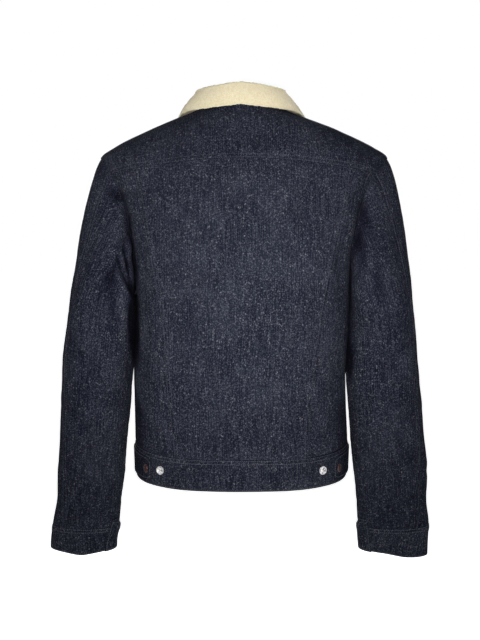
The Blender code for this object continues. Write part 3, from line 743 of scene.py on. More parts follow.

# %% [markdown]
# ## Denim
# This denim is a 3 by 1 twill: indigo warp yarns run down the cloth and cover most of its face,
# in fine diagonal ribs. The warp is uneven, so it shows as vertical streaks, and it carries many
# pale slubs. The group puts those together from the flat cut, so that they follow every panel.
# Near a seam the cloth is rubbed a little paler on its fold, and the ditch beside it is darkened
# as painted shade. Crease troughs are darkened as painted shade too, tinted towards blue, and their
# ridges are paler, partly as rubbed wear and partly as painted light. The same value also brings
# the painted shade and light that the panels add.

# %% Denim group and material
RIB_PITCH = 0.0011
RIB_SLOPE = 1.7
STREAKS_PER_METRE = (620.0, 24.0, 1.0)
INDIGO = (0.0025, 0.0032, 0.0085, 1)
WORN = (0.0265, 0.0296, 0.0455, 1)
TUFT = (0.080, 0.086, 0.110, 1)
SLUB = (0.29, 0.30, 0.33, 1)
RUBBED = 0.08
# How much bluer than dark the painted shade is.
PAINTED_SHADE_BLUE = 0.8


def make_denim_group():
    tree, given, result = new_group(
        "slubby_denim",
        {"Cut": None, "Seam": FAR_FROM_SEAMS, "Fold": 0.0, "Indigo": INDIGO, "Worn": WORN,
         "Tuft": TUFT, "Slub": SLUB},
    )
    cut = given["Cut"]
    streak_place = vector_math(tree, "MULTIPLY", cut, STREAKS_PER_METRE)
    streaks = add_noise(tree, streak_place, 1.0, 2.0, "2D")[0]
    clouds = add_noise(tree, cut, 16.0, 3.0, "2D")[0]
    grain = add_noise(tree, cut, 900.0, 1.0, "2D")[0]
    parts = add_node(tree, "ShaderNodeSeparateXYZ", {0: cut})
    across = calculate(tree, "DIVIDE", parts.outputs[0], RIB_PITCH)
    along = calculate(tree, "DIVIDE", parts.outputs[1], RIB_PITCH * RIB_SLOPE)
    rib_phase = times(tree, calculate(tree, "SUBTRACT", across, along), math.tau)
    ribs = ramp(tree, calculate(tree, "SINE", rib_phase), -1.0, 1.0)

    worn = times(tree, ramp(tree, streaks, 0.36, 0.72), 0.4)
    worn = plus(tree, worn, ramp(tree, grain, 0.35, 0.75, 0.0, 0.3))
    worn = plus(tree, worn, ramp(tree, clouds, 0.35, 0.68, -0.08, 0.08))
    worn = times(tree, worn, ramp(tree, ribs, 0.0, 1.0, 0.6, 1.2))
    fold_edge = ramp(tree, given["Seam"], 2.6, 0.9)
    fold_back = calculate(
        tree, "MULTIPLY", ramp(tree, given["Seam"], 8.0, 9.4), ramp(tree, given["Seam"], 11.5, 10.2)
    )
    rubbed = times(tree, plus(tree, fold_edge, fold_back), RUBBED)
    worn = plus(tree, worn, rubbed, clamp=True)
    color = blend_colors(tree, worn, given["Indigo"], given["Worn"])

    wander = add_noise(tree, cut, 380.0, 2.0, "2D")["Color"]
    uneven = vector_math(tree, "MULTIPLY_ADD", wander, (0.0042, 0.0030, 0.0), cut)
    tufts, slubs = (
        use_group(tree, slub_group, {"Cut": uneven, "Width": wide, "Length": long, "Share": share})[0]
        for wide, long, share in ((0.0012, 0.0027, 0.9), (0.0017, 0.0032, 0.12))
    )
    tufts = times(tree, tufts, ramp(tree, ribs, 0.0, 0.7, 0.6, 1.15))
    tufts = times(tree, tufts, ramp(tree, streaks, 0.3, 0.7, 0.5, 1.3))
    tufts = times(tree, tufts, ramp(tree, clouds, 0.35, 0.65, 0.88, 1.1), clamp=True)
    color = blend_colors(tree, tufts, color, given["Tuft"])
    color = blend_colors(tree, times(tree, slubs, 0.42), color, given["Slub"])
    specks = calculate(tree, "MAXIMUM", times(tree, tufts, 0.5), slubs)
    # Painted shade: the seam's ditch and the troughs of the Fold value darken the colour; ridges are
    # paler, partly wear and partly painted light.
    ditch = ramp(tree, given["Seam"], 0.0, 1.3, 0.35, 1.0)
    trough = ramp(tree, given["Fold"], -6.0, 0.4, 0.08, 1.0)
    ridge = ramp(tree, given["Fold"], 0.1, 1.6, 1.0, 1.25)
    dark = times(tree, times(tree, trough, ridge), ditch)
    blue = calculate(tree, "POWER", dark, PAINTED_SHADE_BLUE)
    shade = add_node(tree, "ShaderNodeCombineColor", {0: dark, 1: dark, 2: blue}).outputs[0]
    tree.links.new(blend_colors(tree, 1.0, color, shade, "MULTIPLY"), result["Color"])
    tree.links.new(ramp(tree, specks, 0.0, 0.6, 0.92, 0.75), result["Roughness"])

    height = times(tree, ribs, 0.45)
    height = plus(tree, height, times(tree, specks, 0.9))
    height = plus(tree, height, times(tree, grain, 0.6))
    tree.links.new(height, result["Height"])
    return tree


def make_material(name, group, wires, bump_depth, bump_strength=1.0, look=()):
    """A material whose colour, roughness and bump come from a group, and other values from look."""
    material = bpy.data.materials.new(name)
    material.use_nodes = True
    tree = material.node_tree
    shader = tree.nodes["Principled BSDF"]
    made = use_group(tree, group, {key: value(tree) if callable(value) else value
                                   for key, value in wires.items()})
    tree.links.new(made["Color"], shader.inputs["Base Color"])
    tree.links.new(made["Roughness"], shader.inputs["Roughness"])
    bump = add_node(
        tree, "ShaderNodeBump",
        {"Height": made["Height"], "Distance": bump_depth, "Strength": bump_strength},
    )
    tree.links.new(bump.outputs[0], shader.inputs["Normal"])
    for socket, value in dict(look).items():
        shader.inputs[socket].default_value = value
    return material


def cut_place(tree):
    return add_node(tree, "ShaderNodeUVMap", uv_map="cut").outputs[0]


def told(label):
    """Reads what the mesh tells about each of its points."""
    return lambda tree: add_node(tree, "ShaderNodeAttribute", attribute_name=label).outputs["Fac"]


# The fold attribute brings crease depth and the panels' painted shade and light to the denim.
denim = make_material(
    "dark_denim", make_denim_group(), {"Cut": cut_place, "Seam": told("seam"), "Fold": told("fold")},
    0.0005, look={"Specular IOR Level": 0.04},
)
print("denim ready, ribs", RIB_PITCH * 1000, "mm apart")

# %% [markdown]
# ## Pile, lining and thread
# Sherpa is a knit with a curled pile that stands in small round clumps. On the collar the clumps
# are real geometry, and this material adds the finer curls and the shadow between them. The body
# is lined with the same pile. The sleeves have a smooth dark lining, because pile would catch on
# a shirt. The thread of the long seams is nearly as dark as the denim, the waistband's is a
# little paler, and the cuffs and tabs have a pale one whose stitches show as light dashes.

# %% Pile, lining and thread materials
def make_pile_group():
    tree, given, result = new_group(
        "curled_pile",
        {"Place": None, "Scale": 260.0, "Tip": (0.575, 0.55, 0.425, 1),
         "Root": (0.50, 0.435, 0.285, 1)},
    )
    bend = add_noise(tree, given["Place"], given["Scale"], 2.0)["Color"]
    shift = add_node(tree, "ShaderNodeVectorMath", {0: bend, 3: 0.006}, operation="SCALE").outputs[0]
    place = vector_math(tree, "ADD", given["Place"], shift)
    clumps = add_node(
        tree, "ShaderNodeTexVoronoi", {"Vector": place, "Scale": given["Scale"]}
    ).outputs["Distance"]
    fibres = add_noise(tree, place, times(tree, given["Scale"], 5.0), 2.0)[0]
    high = ramp(tree, clumps, 0.75, 0.1)
    tone = plus(tree, times(tree, high, 0.75),
                     ramp(tree, fibres, 0.3, 0.7, -0.15, 0.35), clamp=True)
    tree.links.new(blend_colors(tree, tone, given["Root"], given["Tip"]), result["Color"])
    tree.links.new(ramp(tree, tone, 0.0, 1.0, 1.0, 0.85), result["Roughness"])
    height = plus(tree, high, times(tree, fibres, 0.5))
    tree.links.new(height, result["Height"])
    return tree


def object_place(tree):
    return add_node(tree, "ShaderNodeTexCoord").outputs["Object"]


pile_group = make_pile_group()
PILE_LOOK = {"Sheen Weight": 0.4, "Sheen Roughness": 0.5, "Sheen Tint": (1.0, 0.95, 0.82, 1),
             "Specular IOR Level": 0.15}
collar_pile = make_material(
    "collar_pile", pile_group, {"Place": object_place, "Scale": 420.0}, 0.0008, 0.7, PILE_LOOK
)
body_lining = make_material(
    "body_lining_pile", pile_group, {"Place": object_place, "Scale": 240.0}, 0.0022, look=PILE_LOOK
)


def make_weave_group():
    """A plain fine weave, for lining cloth and for thread."""
    tree, given, result = new_group(
        "fine_weave",
        {"Place": None, "Pitch": 0.0006, "Dark": (0.015, 0.017, 0.025, 1),
         "Light": (0.03, 0.033, 0.045, 1)},
    )
    parts = add_node(tree, "ShaderNodeSeparateXYZ", {0: given["Place"]})
    turns = [
        calculate(tree, "SINE", calculate(
            tree, "MULTIPLY", calculate(tree, "DIVIDE", parts.outputs[index], given["Pitch"]), math.tau
        )) for index in range(2)
    ]
    weave = ramp(tree, times(tree, *turns), -1.0, 1.0)
    mottle = add_noise(tree, given["Place"], 140.0, 3.0)[0]
    tone = plus(tree, times(tree, weave, 0.5),
                     ramp(tree, mottle, 0.3, 0.7, 0.0, 0.5))
    tree.links.new(blend_colors(tree, tone, given["Dark"], given["Light"]), result["Color"])
    tree.links.new(ramp(tree, tone, 0.0, 1.0, 0.55, 0.7), result["Roughness"])
    tree.links.new(weave, result["Height"])
    return tree


weave_group = make_weave_group()
sleeve_lining = make_material("sleeve_lining", weave_group, {"Place": cut_place}, 0.0001)


def make_thread(name, dark, light):
    wires = {"Place": object_place, "Pitch": 0.0005, "Dark": (*dark, 1), "Light": (*light, 1)}
    return make_material(name, weave_group, wires, 0.00008)


tonal_thread = make_thread("tonal_thread", (0.016, 0.018, 0.030), (0.034, 0.037, 0.052))
mid_thread = make_thread("mid_thread", (0.038, 0.042, 0.058), (0.085, 0.09, 0.11))
pale_thread = make_thread("pale_thread", (0.06, 0.068, 0.095), (0.13, 0.145, 0.185))
print("materials so far:", len(bpy.data.materials))

# %% [markdown]
# ## The back
# The back is cut in four: a yoke over the shoulders, a middle, and two slanting side panels. The
# yoke lies over the panels below it and the middle over the sides, each with a folded edge. Soft
# creases are placed by their angle. The hung ones beside the arms cross from the back to the
# sleeves, so they are placed by their distance to the left of the middle, and the hung shades
# are painted shade there: they only darken the cloth's colour. Beside the armholes the cloth is
# drawn in and painted darker as shade, and so are the hollow between arm and body and the side
# above the band.

# %% Back panels
BACK_CREASES = [Crease(*row) for row in (
    (62, -150, 66, -300, 9, 1.5, 5), (-60, -170, -66, -310, 9, 1.4, -4),
    (30, -250, 44, -420, 16, 1.0, 8),
    (-34, -300, -42, -450, 15, 0.9, -8), (12, -420, 50, -470, 13, 0.9, 5),
    (-8, -450, -50, -490, 12, 0.9, -5),
    (70, -420, 40, -500, 10, 1.2, 4), (-70, -400, -44, -495, 10, 1.2, -4),
    (20, -95, 52, -130, 12, 0.8, 4),
    (-24, -95, -50, -126, 12, 0.8, -4),
)]
HUNG_CREASES = [Crease(*row) for row in (
    (174.5, -150, 168.6, -225, 6, 1.0, -1.5), (184.0, -196, 167.6, -288, 3.8, 6.5, -2.5),
    (194.0, -218, 170.5, -284, 3.4, 5.2, -2.5), (209, -205, 200, -322, 8, 2.0, -3),
    (204, -285, 195, -365, 6, 1.6, 2), (214, -112, 184, -140, 12, 3.6, 2),
    (186, -128, 177, -176, 7, 1.0, 1), (-186, -130, -197, -210, 12, 3.4, 2),
    (-180, -172, -191, -214, 7, 2.8, -2), (-176, -210, -170, -280, 6, 1.0, 1),
)]
# Painted shade: these troughs only darken the cloth's colour.
HUNG_SHADES = [Crease(*row) for row in (
    (171.0, -262, 166.5, -405, 9, 6.5, -3), (152.5, -350, 148.0, -440, 11, 2.4, 2),
    (-171.8, -262, -174.0, -345, 5, 1.6, -1), (-172.0, -335, -170.5, -418, 6.5, 7.0, 1),
)]
BODY_RADIUS = 150.0
ARMHOLE_SINK = {"left": 10.0, "right": 7.5}
SINK_WIDTH = 12.0
# The next three darken the colour as painted shade, in millimetres of trough for the material.
HOLLOW_SHADE = {"left": 4.6, "right": 1.8}
SINK_SHADE = 0.32
SIDE_SHADE = 3.6
NEVER_AGAIN = 4000.0


def body_waves(turn, height, seed):
    arc = turn * math.radians(BODY_RADIUS)
    return soft_waves(arc, height, seed, 95.0, 0.45) + soft_waves(arc, height, seed + 1, 34.0, 0.12)


def armhole_sink(label, height, away):
    """How far the cloth is drawn in beside the armhole, where the arm hangs down against it."""
    reach = fade_in(height, -100, -190)
    return ARMHOLE_SINK[label] * reach * np.exp(-(away / SINK_WIDTH) ** 2)


def hollow(toward, height):
    """Painted shade between the arm and the body, where little light reaches: 0 outside it, 1 in it.

    toward runs from 0 where the cloth faces outwards to 1 where it faces the other one."""
    between = fade_in(height, -130, -260) * fade_in(height, -470, -320)
    return smooth_step(toward) * between


def hung_relief(points, creases):
    """Troughs given in (distance to the left of the middle, height) on the half that looks back."""
    depth = crease_relief(points[..., 0], points[..., 2], creases, 1.0, NEVER_AGAIN)
    return depth * fade_in(points[..., 1], -12, 12)


def side_shade(turn, height):
    """Painted shade on the side of the jacket just above and on its band, where the forearm shades it.
    """
    off_side = np.abs(np.abs(turn) - 90)
    return SIDE_SHADE * fade_in(off_side, 34, 18) * fade_in(height, -420, -470)


def sink(points, depth):
    """Moves points towards the side of the body, from its back or its front."""
    way = np.clip((points[..., 1] - SIDE_Y) / 25, -1, 1)
    return points - np.stack((0 * depth, depth * way, 0 * depth), -1)


def lay_body(name, region, creases, seed, over, under, step_out=0.0, armhole_of=None):
    """A body panel from its region of (angle, height), with its relief and any step outwards."""
    turn, height = region[..., 0], region[..., 1]
    points = body_face(turn, height)
    folds_and_shade = crease_relief(turn, height, creases, math.radians(BODY_RADIUS))
    folds_and_shade = folds_and_shade + hung_relief(points, HUNG_CREASES)
    extra = body_waves(turn, height, 7) + folds_and_shade + step_out
    if armhole_of:
        drawn = armhole_sink(armhole_of, height, edge_distances(points)["left"])
        drawn = drawn * smooth_step((height - UNDERARM + 40) / 40)
        # Painted shade: the drawn-in cloth by the armhole, the hollow between arm and body, the hung
        # shades and the side above the band only darken the colour.
        points, folds_and_shade = sink(points, drawn), folds_and_shade - drawn * SINK_SHADE
    strength = np.where(turn > 0, HOLLOW_SHADE["left"], HOLLOW_SHADE["right"])
    folds_and_shade = folds_and_shade - strength * hollow((27 - np.abs(np.abs(turn) - 90)) / 15, height)
    folds_and_shade = folds_and_shade + hung_relief(points, HUNG_SHADES) - side_shade(turn, height)
    return lay_cloth(name, points, from_axis(points), BODY_WALL, denim, body_lining,
                     over, under, extra, seed, folds_and_shade)


def shoulder_edge(side):
    """From the end of the yoke seam up the armhole, then along the shoulder seam."""
    return lambda up: walk(
        up,
        (1 / 3, lambda share: armhole(side, mix(YOKE_TURN, 0, share))),
        (1.0, lambda share: side_line(side, mix(SHOULDER_TIP, NECK_SIDE, share))),
    )


def yoke_seam(reach):
    """The yoke seam from left to right, out to a share of its half width on both sides."""
    def line(across):
        signed = 1 - 2 * across
        share = np.abs(signed) * reach
        return np.where((signed >= 0)[:, None], yoke_line(1.0, share), yoke_line(-1.0, share))
    return line


def waist_edge(start, end):
    def line(across):
        turn = mix(start, end, across)
        return pair(turn, waist_line(turn))
    return line


def neck_edge(start, end):
    def line(across):
        turn = mix(start, end, across)
        return pair(turn, neck_height(np.minimum(np.abs(turn), 360 - np.abs(turn))))
    return line


SHOULDER_TURN = float(turn_at_y(NECK_SIDE, SIDE_Y, 1.0))
yoke_region = patch(
    shoulder_edge(1.0), shoulder_edge(-1.0), yoke_seam(1.0), neck_edge(SHOULDER_TURN, -SHOULDER_TURN),
    460, 130, fade=3.0,
)
lay_body("back_yoke_cloth", yoke_region, BACK_CREASES, 1, ("bottom", "left", "right"), ("top",))


def side_back_edge(side):
    start = float(line_start(side_back_line, side)[1])
    finish = float(yoke_line(side, SIDE_BACK_SHARE)[1])
    return lambda up: side_back_line(side, mix(start, finish, up))


def flank_region(side):
    waist = line_start(side_line, side)

    def outer(up):
        return walk(
            up,
            (0.52, lambda share: side_line(side, mix(float(waist[1]), UNDERARM, share))),
            (1.0, lambda share: armhole(side, mix(180, YOKE_TURN, share))),
        )

    def top(across):
        return yoke_line(side, mix(1.0, SIDE_BACK_SHARE, across))

    bottom = waist_edge(waist[0], line_start(side_back_line, side)[0])
    return patch(outer, side_back_edge(side), bottom, top, 110, 450)


center_region = patch(
    side_back_edge(1.0), side_back_edge(-1.0),
    waist_edge(line_start(side_back_line, 1.0)[0], line_start(side_back_line, -1.0)[0]),
    yoke_seam(SIDE_BACK_SHARE), 300, 455,
)
lay_body("back_center_cloth", center_region, BACK_CREASES, 2, ("left", "right"), ("top", "bottom"))
for number, (label, side) in enumerate(SIDES.items()):
    lay_body(f"back_side_{label}_cloth", flank_region(side), BACK_CREASES, 3 + number,
             ("left",), ("right", "top", "bottom"), armhole_of=label)
print("back laid:", ", ".join(sheets))

# %% [markdown]
# ## The fronts
# Each front reaches from the side seam to an edge that passes the middle, so that the left one
# can lap over the right one. Where they lap, the left front steps outwards by its own
# thickness, on a soft ramp. The creases run from the armholes down towards the buttons.

# %% Front panels
FRONT_CREASES = [Crease(*row) for row in (
    (108, -150, 112, -300, 9, 1.5, 5), (-110, -165, -113, -310, 9, 1.4, -4),
    (112, -300, 150, -380, 14, 1.3, 9),
    (-113, -310, -152, -372, 14, 1.2, -8), (125, -420, 165, -500, 12, 1.2, -6),
    (-122, -430, -163, -492, 12, 1.1, 6),
    (150, -120, 122, -150, 14, 1.0, 5), (-148, -125, -124, -146, 14, 1.0, -5),
    (158, -230, 172, -330, 13, 0.9, 6),
    (-160, -240, -170, -345, 13, 0.9, -6),
)]
FRONT_ARMHOLE = (0.43, 0.82)


def lap_step(points, turn, wall):
    """How far the left half steps out over the right one near the middle front."""
    inward = 1 - smooth_step((points[..., 0] - LAP - LAP_MARGIN) / LAP_RAMP)
    return np.where(np.abs(turn) < 90, 0.0, (wall + LAP_GAP) * inward)


def front_edge_turn(side, height):
    """The angle of a front's edge, which passes the middle by the lap's width."""
    return side * (180 + np.degrees(np.arctan2(LAP, body_radius(180.0, height))))


def front_region(side):
    waist = line_start(side_line, side)
    edge_low, edge_high = WAIST_SEAM, float(neck_height(168.0))
    middle = mix(edge_low, edge_high, (UNDERARM + 40 - edge_low) / (edge_high - edge_low))
    low_share, high_share = FRONT_ARMHOLE

    def outer(up):
        return walk(
            up,
            (low_share, lambda share: side_line(side, mix(float(waist[1]), UNDERARM, share))),
            (high_share, lambda share: armhole(side, mix(-180, 0, share))),
            (1.0, lambda share: side_line(side, mix(SHOULDER_TIP, NECK_SIDE, share))),
        )

    def inner(up):
        low = mix(edge_low, middle, up / low_share)
        high = mix(middle, edge_high, (up - low_share) / (1 - low_share))
        height = np.where(up < low_share, low, high)
        return pair(front_edge_turn(side, height), height)

    bottom = waist_edge(waist[0], front_edge_turn(side, edge_low))
    top = neck_edge(side * SHOULDER_TURN, float(front_edge_turn(side, edge_high)))
    return patch(outer, inner, bottom, top, 260, 540, fade=1.8)


for number, (label, side) in enumerate(SIDES.items()):
    region = front_region(side)
    points = body_face(region[..., 0], region[..., 1])
    step_out = lap_step(points, region[..., 0], BODY_WALL) if side > 0 else 0.0
    lay_body(f"front_{label}_cloth", region, FRONT_CREASES, 5 + number,
             (("left", *FRONT_ARMHOLE), "right"), ("bottom",), step_out, armhole_of=label)
print("fronts laid, left front steps out by", BODY_WALL + LAP_GAP, "mm")

# %% [markdown]
# ## The sleeves
# A set-in sleeve leaves the armhole over a rounded cap and turns down into the arm. The cap runs
# on a Hermite curve at every angle: it starts at the armhole in the direction in which the
# shoulder leaves off, and ends on the ring of the upper arm. The arm itself is a stack of ovals
# that lean forward towards the hand. The inner side is creased where the arm hangs at the body,
# and the right one swells there to rest on it.
# The large folds, the upper arm, the drawn-in cloth at the armhole, the hollow by the body and the
# hung shades are painted darker as shade.

# %% Sleeve panels
Fold = namedtuple("Fold", "side turn height along across slope depth")
SLEEVE_FOLDS = [Fold(*row) for row in (
    ("left", 118, -262, 62, 11, 0.18, 6.0), ("left", 96, -250, 50, 13, 0.35, 4.0),
    ("left", 70, -415, 45, 12, 1.1, 2.5), ("left", -60, -400, 60, 13, -0.9, 3.0),
    ("left", -95, -270, 60, 13, 0.25, 4.5), ("right", 112, -205, 60, 14, 0.2, 5.0),
    ("right", 92, -268, 45, 12, 0.4, 3.0), ("right", 75, -585, 42, 9, 1.0, 2.5),
    ("right", 40, -545, 45, 10, 1.1, 2.5), ("right", -65, -420, 60, 13, -0.8, 3.0),
    ("right", -100, -260, 60, 13, 0.3, 4.5),
)]
SLEEVE_CREASES = {label: [Crease(*row) for row in rows] for label, rows in {
    "left": (
        (30, -330, 95, -395, 9, 1.8, 4), (20, -450, 85, -500, 9, 1.5, -4),
        (100, -470, 40, -560, 8, 1.6, 4),
        (15, -560, 90, -610, 7, 1.5, 3), (95, -580, 50, -640, 6, 1.3, 3),
        (-35, -340, -100, -400, 9, 1.8, 4),
        (-20, -500, -90, -560, 8, 1.6, -4), (-95, -590, -40, -640, 6, 1.3, 3),
        (130, -360, 170, -430, 7, 1.6, 3),
        (126, -150, 138, -235, 8, 2.6, 3), (122, -205, 158, -268, 6, 3.2, 3),
        (96, -195, 116, -300, 9, 2.4, 4),
        (72, -225, 92, -330, 10, 1.8, -4), (70, -112, 98, -152, 10, 2.4, 3),
    ),
    "right": (
        (35, -345, 100, -400, 9, 1.7, -4), (10, -430, 80, -490, 9, 1.5, 4),
        (95, -500, 45, -570, 8, 1.6, 4),
        (20, -590, 85, -640, 7, 1.7, 3), (90, -560, 60, -620, 6, 1.2, 3),
        (-30, -350, -95, -410, 9, 1.8, -4),
        (-25, -520, -85, -575, 8, 1.5, 4), (-90, -600, -45, -645, 6, 1.3, -3),
        (135, -350, 170, -440, 7, 1.6, 3),
        (104, -135, 126, -205, 14, 3.6, -4), (110, -215, 138, -262, 8, 2.4, 3),
        (84, -215, 104, -310, 9, 1.6, 4),
        (70, -588, 30, -560, 6, 1.8, 2),
    ),
}.items()
}
SLEEVE_RADIUS = 56.0
ARM_REST = 4.6
# ARM_SHADE darkens the upper sleeves as painted shade.
ARM_SHADE = 0.7


def sleeve_ring(side, turn, height):
    """Points on rings of the sleeve, tipped forward with the forearm."""
    row = read_table(SLEEVE, height)
    outer, inner = row[0:2] if side > 0 else row[2:4]
    half_depth, forward, lean = row[4:]
    radius = oval_radius(90 - turn, (outer - inner) / 2, half_depth, SLEEVE_SQUARENESS)
    across = radius * np.cos(np.radians(turn))
    behind = radius * np.sin(np.radians(turn))
    lean = np.radians(lean)
    return np.stack((
        side * ((outer + inner) / 2 + across),
        -forward + behind * np.cos(lean),
        height - behind * np.sin(lean),
    ), -1)


def fold_depth(label, turn, height):
    """How far the largest folds draw the sleeve's face in."""
    depth = np.zeros_like(height)
    for fold in SLEEVE_FOLDS:
        if fold.side == label:
            rise = height - fold.height
            gone = (turn - fold.turn + 180) % 360 - 180 - fold.slope * rise
            depth += fold.depth * np.exp(-(rise / fold.along) ** 2 - (gone / fold.across) ** 2)
    return depth


def cap_direction(side, turn):
    """The way the sleeve leaves the armhole: out of the shoulder and back, down underarm."""
    cosine, sine = np.cos(np.radians(turn)), np.sin(np.radians(turn))
    top, low, level = np.maximum(cosine, 0) ** 2, np.maximum(-cosine, 0) ** 2, sine ** 2
    return unit(np.stack((
        side * (0.56 * top + 0.74 * level + 0.05 * low),
        0.22 * sine * level,
        -(0.83 * top + 0.62 * level + 1.0 * low),
    ), -1))


def sleeve_face(label, turn, row):
    """Points of the sleeve: rows 0 to 1 are its cap, and beyond 1 it runs down the arm."""
    side = SIDES[label]
    turn, row = np.broadcast_arrays(turn, row)
    height = BICEPS - (np.maximum(row, 1.0) - 1) * 100
    arm = sleeve_ring(side, turn, height)
    inward = unit(sleeve_ring(side, turn + 180, height) - arm)
    arm = arm + inward * fold_depth(label, turn, arm[..., 2])[..., None]

    share = np.clip(row, 0, 1)[..., None]
    start = body_face(*np.moveaxis(armhole(side, turn), -1, 0))
    end = sleeve_ring(side, turn, np.full(turn.shape, BICEPS))
    reach = mix(CAP_REACH, UNDERARM_REACH, (1 - np.cos(np.radians(turn))) / 2)[..., None]
    arriving = unit(sleeve_ring(side, turn, np.full(turn.shape, BICEPS - 5)) - end)
    cap = mix(start, end, share * share * (3 - 2 * share))
    cap = cap + cap_direction(side, turn) * reach * 0.6 * share * (1 - share) ** 2
    cap = cap - arriving * reach * 0.9 * share ** 2 * (1 - share)
    axis = np.stack((np.full(turn.shape, side * 235.0), np.zeros(turn.shape), cap[..., 2]), -1)
    fade = smooth_step(share[..., 0] * 2.5)
    cap = cap + unit(axis - cap) * (fold_depth(label, turn, cap[..., 2]) * fade)[..., None]
    return np.where((row >= 1)[..., None], arm, cap)


def sleeve_outward(label, turn):
    """Which way is outwards on a sleeve: away from the middle of the arm."""
    angle = np.radians(turn)
    return np.stack((SIDES[label] * np.cos(angle), np.sin(angle), 0.2 + 0 * angle), -1)


def arm_waves(turn, height, seed):
    arc = turn * math.radians(SLEEVE_RADIUS)
    return soft_waves(arc, height, seed, 70.0, 0.5) + soft_waves(arc, height, seed + 1, 26.0, 0.14)


def arm_rest(label, turn, height):
    """The swelling with which the inner side of the right sleeve rests against the body."""
    if label == "left":
        return 0.0
    reach = fade_in(height, -325, -355) * fade_in(height, -421, -385)
    return ARM_REST * fade_in(np.abs(turn), 130, 160) * reach


def back_seam_turn(row):
    """The sleeve's back seam leaves the end of the yoke seam and moves to its own line."""
    return mix(YOKE_TURN, BACK_SLEEVE_SEAM, smooth_step(row))


CUFF_ROW = 1 + (BICEPS - CUFF_SEAM) / 100
SLEEVE_LENGTH = 600.0
CAP_SHARE = 0.40
# FOLD_SHADE darkens the colour in the sleeves' large folds as painted shade.
FOLD_SHADE = 0.35


def lay_sleeve(name, label, start, end, width, over, under, seed):
    """A sleeve panel between two lines of angle, each a function of the row."""
    down = 1 - grid_steps(SLEEVE_LENGTH)
    row = np.where(down < CAP_SHARE, down / CAP_SHARE,
                   1 + (down - CAP_SHARE) / (1 - CAP_SHARE) * (CUFF_ROW - 1))[:, None]
    across = grid_steps(width)[None, :]
    turn = mix(start(row), end(row), across)
    points = sleeve_face(label, turn, row)
    height = points[..., 2]
    folds_and_shade = crease_relief(turn, height, SLEEVE_CREASES[label], math.radians(SLEEVE_RADIUS))
    folds_and_shade = folds_and_shade + hung_relief(points, HUNG_CREASES)
    extra = arm_waves(turn, height, seed // 10) + folds_and_shade + arm_rest(label, turn, height)
    drawn = armhole_sink(label, points[-1:, :, 2], edge_distances(points)["top"])
    points = sink(points, drawn)
    # Painted shade: the terms below only darken the sleeve's colour.
    folds_and_shade = folds_and_shade - FOLD_SHADE * fold_depth(label, turn, height) - drawn * SINK_SHADE
    folds_and_shade = folds_and_shade - ARM_SHADE * fade_in(height, -590, -390)
    folds_and_shade = folds_and_shade - HOLLOW_SHADE[label] * hollow((np.abs(turn) - 128) / 40, height)
    folds_and_shade = folds_and_shade + hung_relief(points, HUNG_SHADES)
    return lay_cloth(name, points, sleeve_outward(label, turn), SLEEVE_WALL, denim,
                     sleeve_lining, over, under, extra, seed, folds_and_shade)


for label, number in (("left", 20), ("right", 40)):
    lay_sleeve(f"sleeve_{label}_top_cloth", label, lambda row: -180.0 + 0 * row, back_seam_turn,
               215, ("right",), ("left", "top", "bottom"), number)
    lay_sleeve(f"sleeve_{label}_under_cloth", label, back_seam_turn, lambda row: 180.0 + 0 * row,
               150, ("right",), ("left", "top", "bottom"), number + 1)
print("sleeves laid, cuff starts at row", round(CUFF_ROW, 2))

# %% [markdown]
# ## Cuffs, waistband and tabs
# These are bands of double cloth. The cuff's back end laps over its front end near the hand's
# inner side, with a short corner that reaches above the seam. The waistband follows the hem all
# round, hangs a little lower at both sides, and laps like the fronts. A short tab lies on it at
# each side, buttoned towards the back.

# %% Bands
CUFF_START = 196.0
CUFF_END = -206.0
CUFF_RAMP = 42.0
CUFF_TAB_RISE = 15.0
CUFF_TAB_TURN = 22.0
CUFF_LIFT = 0.6
# Painted light: this pales the cuffs' colour all over, standing in for light on their faces, which
# turn down.
CUFF_PAINTED_LIGHT = 1.6
SIDE_HANG = 3.5
CuffHem = namedtuple("CuffHem", "rise slant bulge")
CUFF_HEMS = {"left": CuffHem(4.5, 0.0, 6.0), "right": CuffHem(-2.5, 5.5, 0.0)}
TAB_HEIGHT = 35.0
TAB_END_X = {"left": 139.5, "right": 143.0}
TAB_START_TURN = 99.0
TAB_POINT = 5.0


def round_edges(piece, width):
    """Rounds the rim of a band, as cloth that is folded over itself is round."""
    soft = piece.modifiers.new("round_rim", "BEVEL")
    soft.width = width * MM
    soft.segments = 3
    soft.limit_method = "ANGLE"
    soft.angle_limit = math.radians(50)
    return piece


def cuff_lift(turn):
    """The cuff's lapping end steps out over its other end."""
    ramp_share = smooth_step((CUFF_END + CUFF_RAMP + 40 - turn) / 40)
    return CUFF_LIFT + (SLEEVE_WALL + LAYER_GAP) * ramp_share


def cuff_drop(label, turn):
    """How far below the cuff's seam its hem lies: a slant to one side and a bulge at the back."""
    hem = CUFF_HEMS[label]
    angle = np.radians(turn)
    return CUFF_HEIGHT - hem.rise + hem.slant * np.cos(angle) + hem.bulge * np.sin(angle) ** 2


def cuff_points(label, across, up):
    turn = mix(CUFF_START, CUFF_END, across) + 0 * up
    tab = smooth_step((CUFF_END + CUFF_TAB_TURN - turn) / (CUFF_TAB_TURN / 2))
    height = CUFF_SEAM - cuff_drop(label, turn) * (1 - up) + CUFF_TAB_RISE * tab * smooth_step(up)
    points = sleeve_face(label, turn, 1 + (BICEPS - height) / 100)
    return turn, points


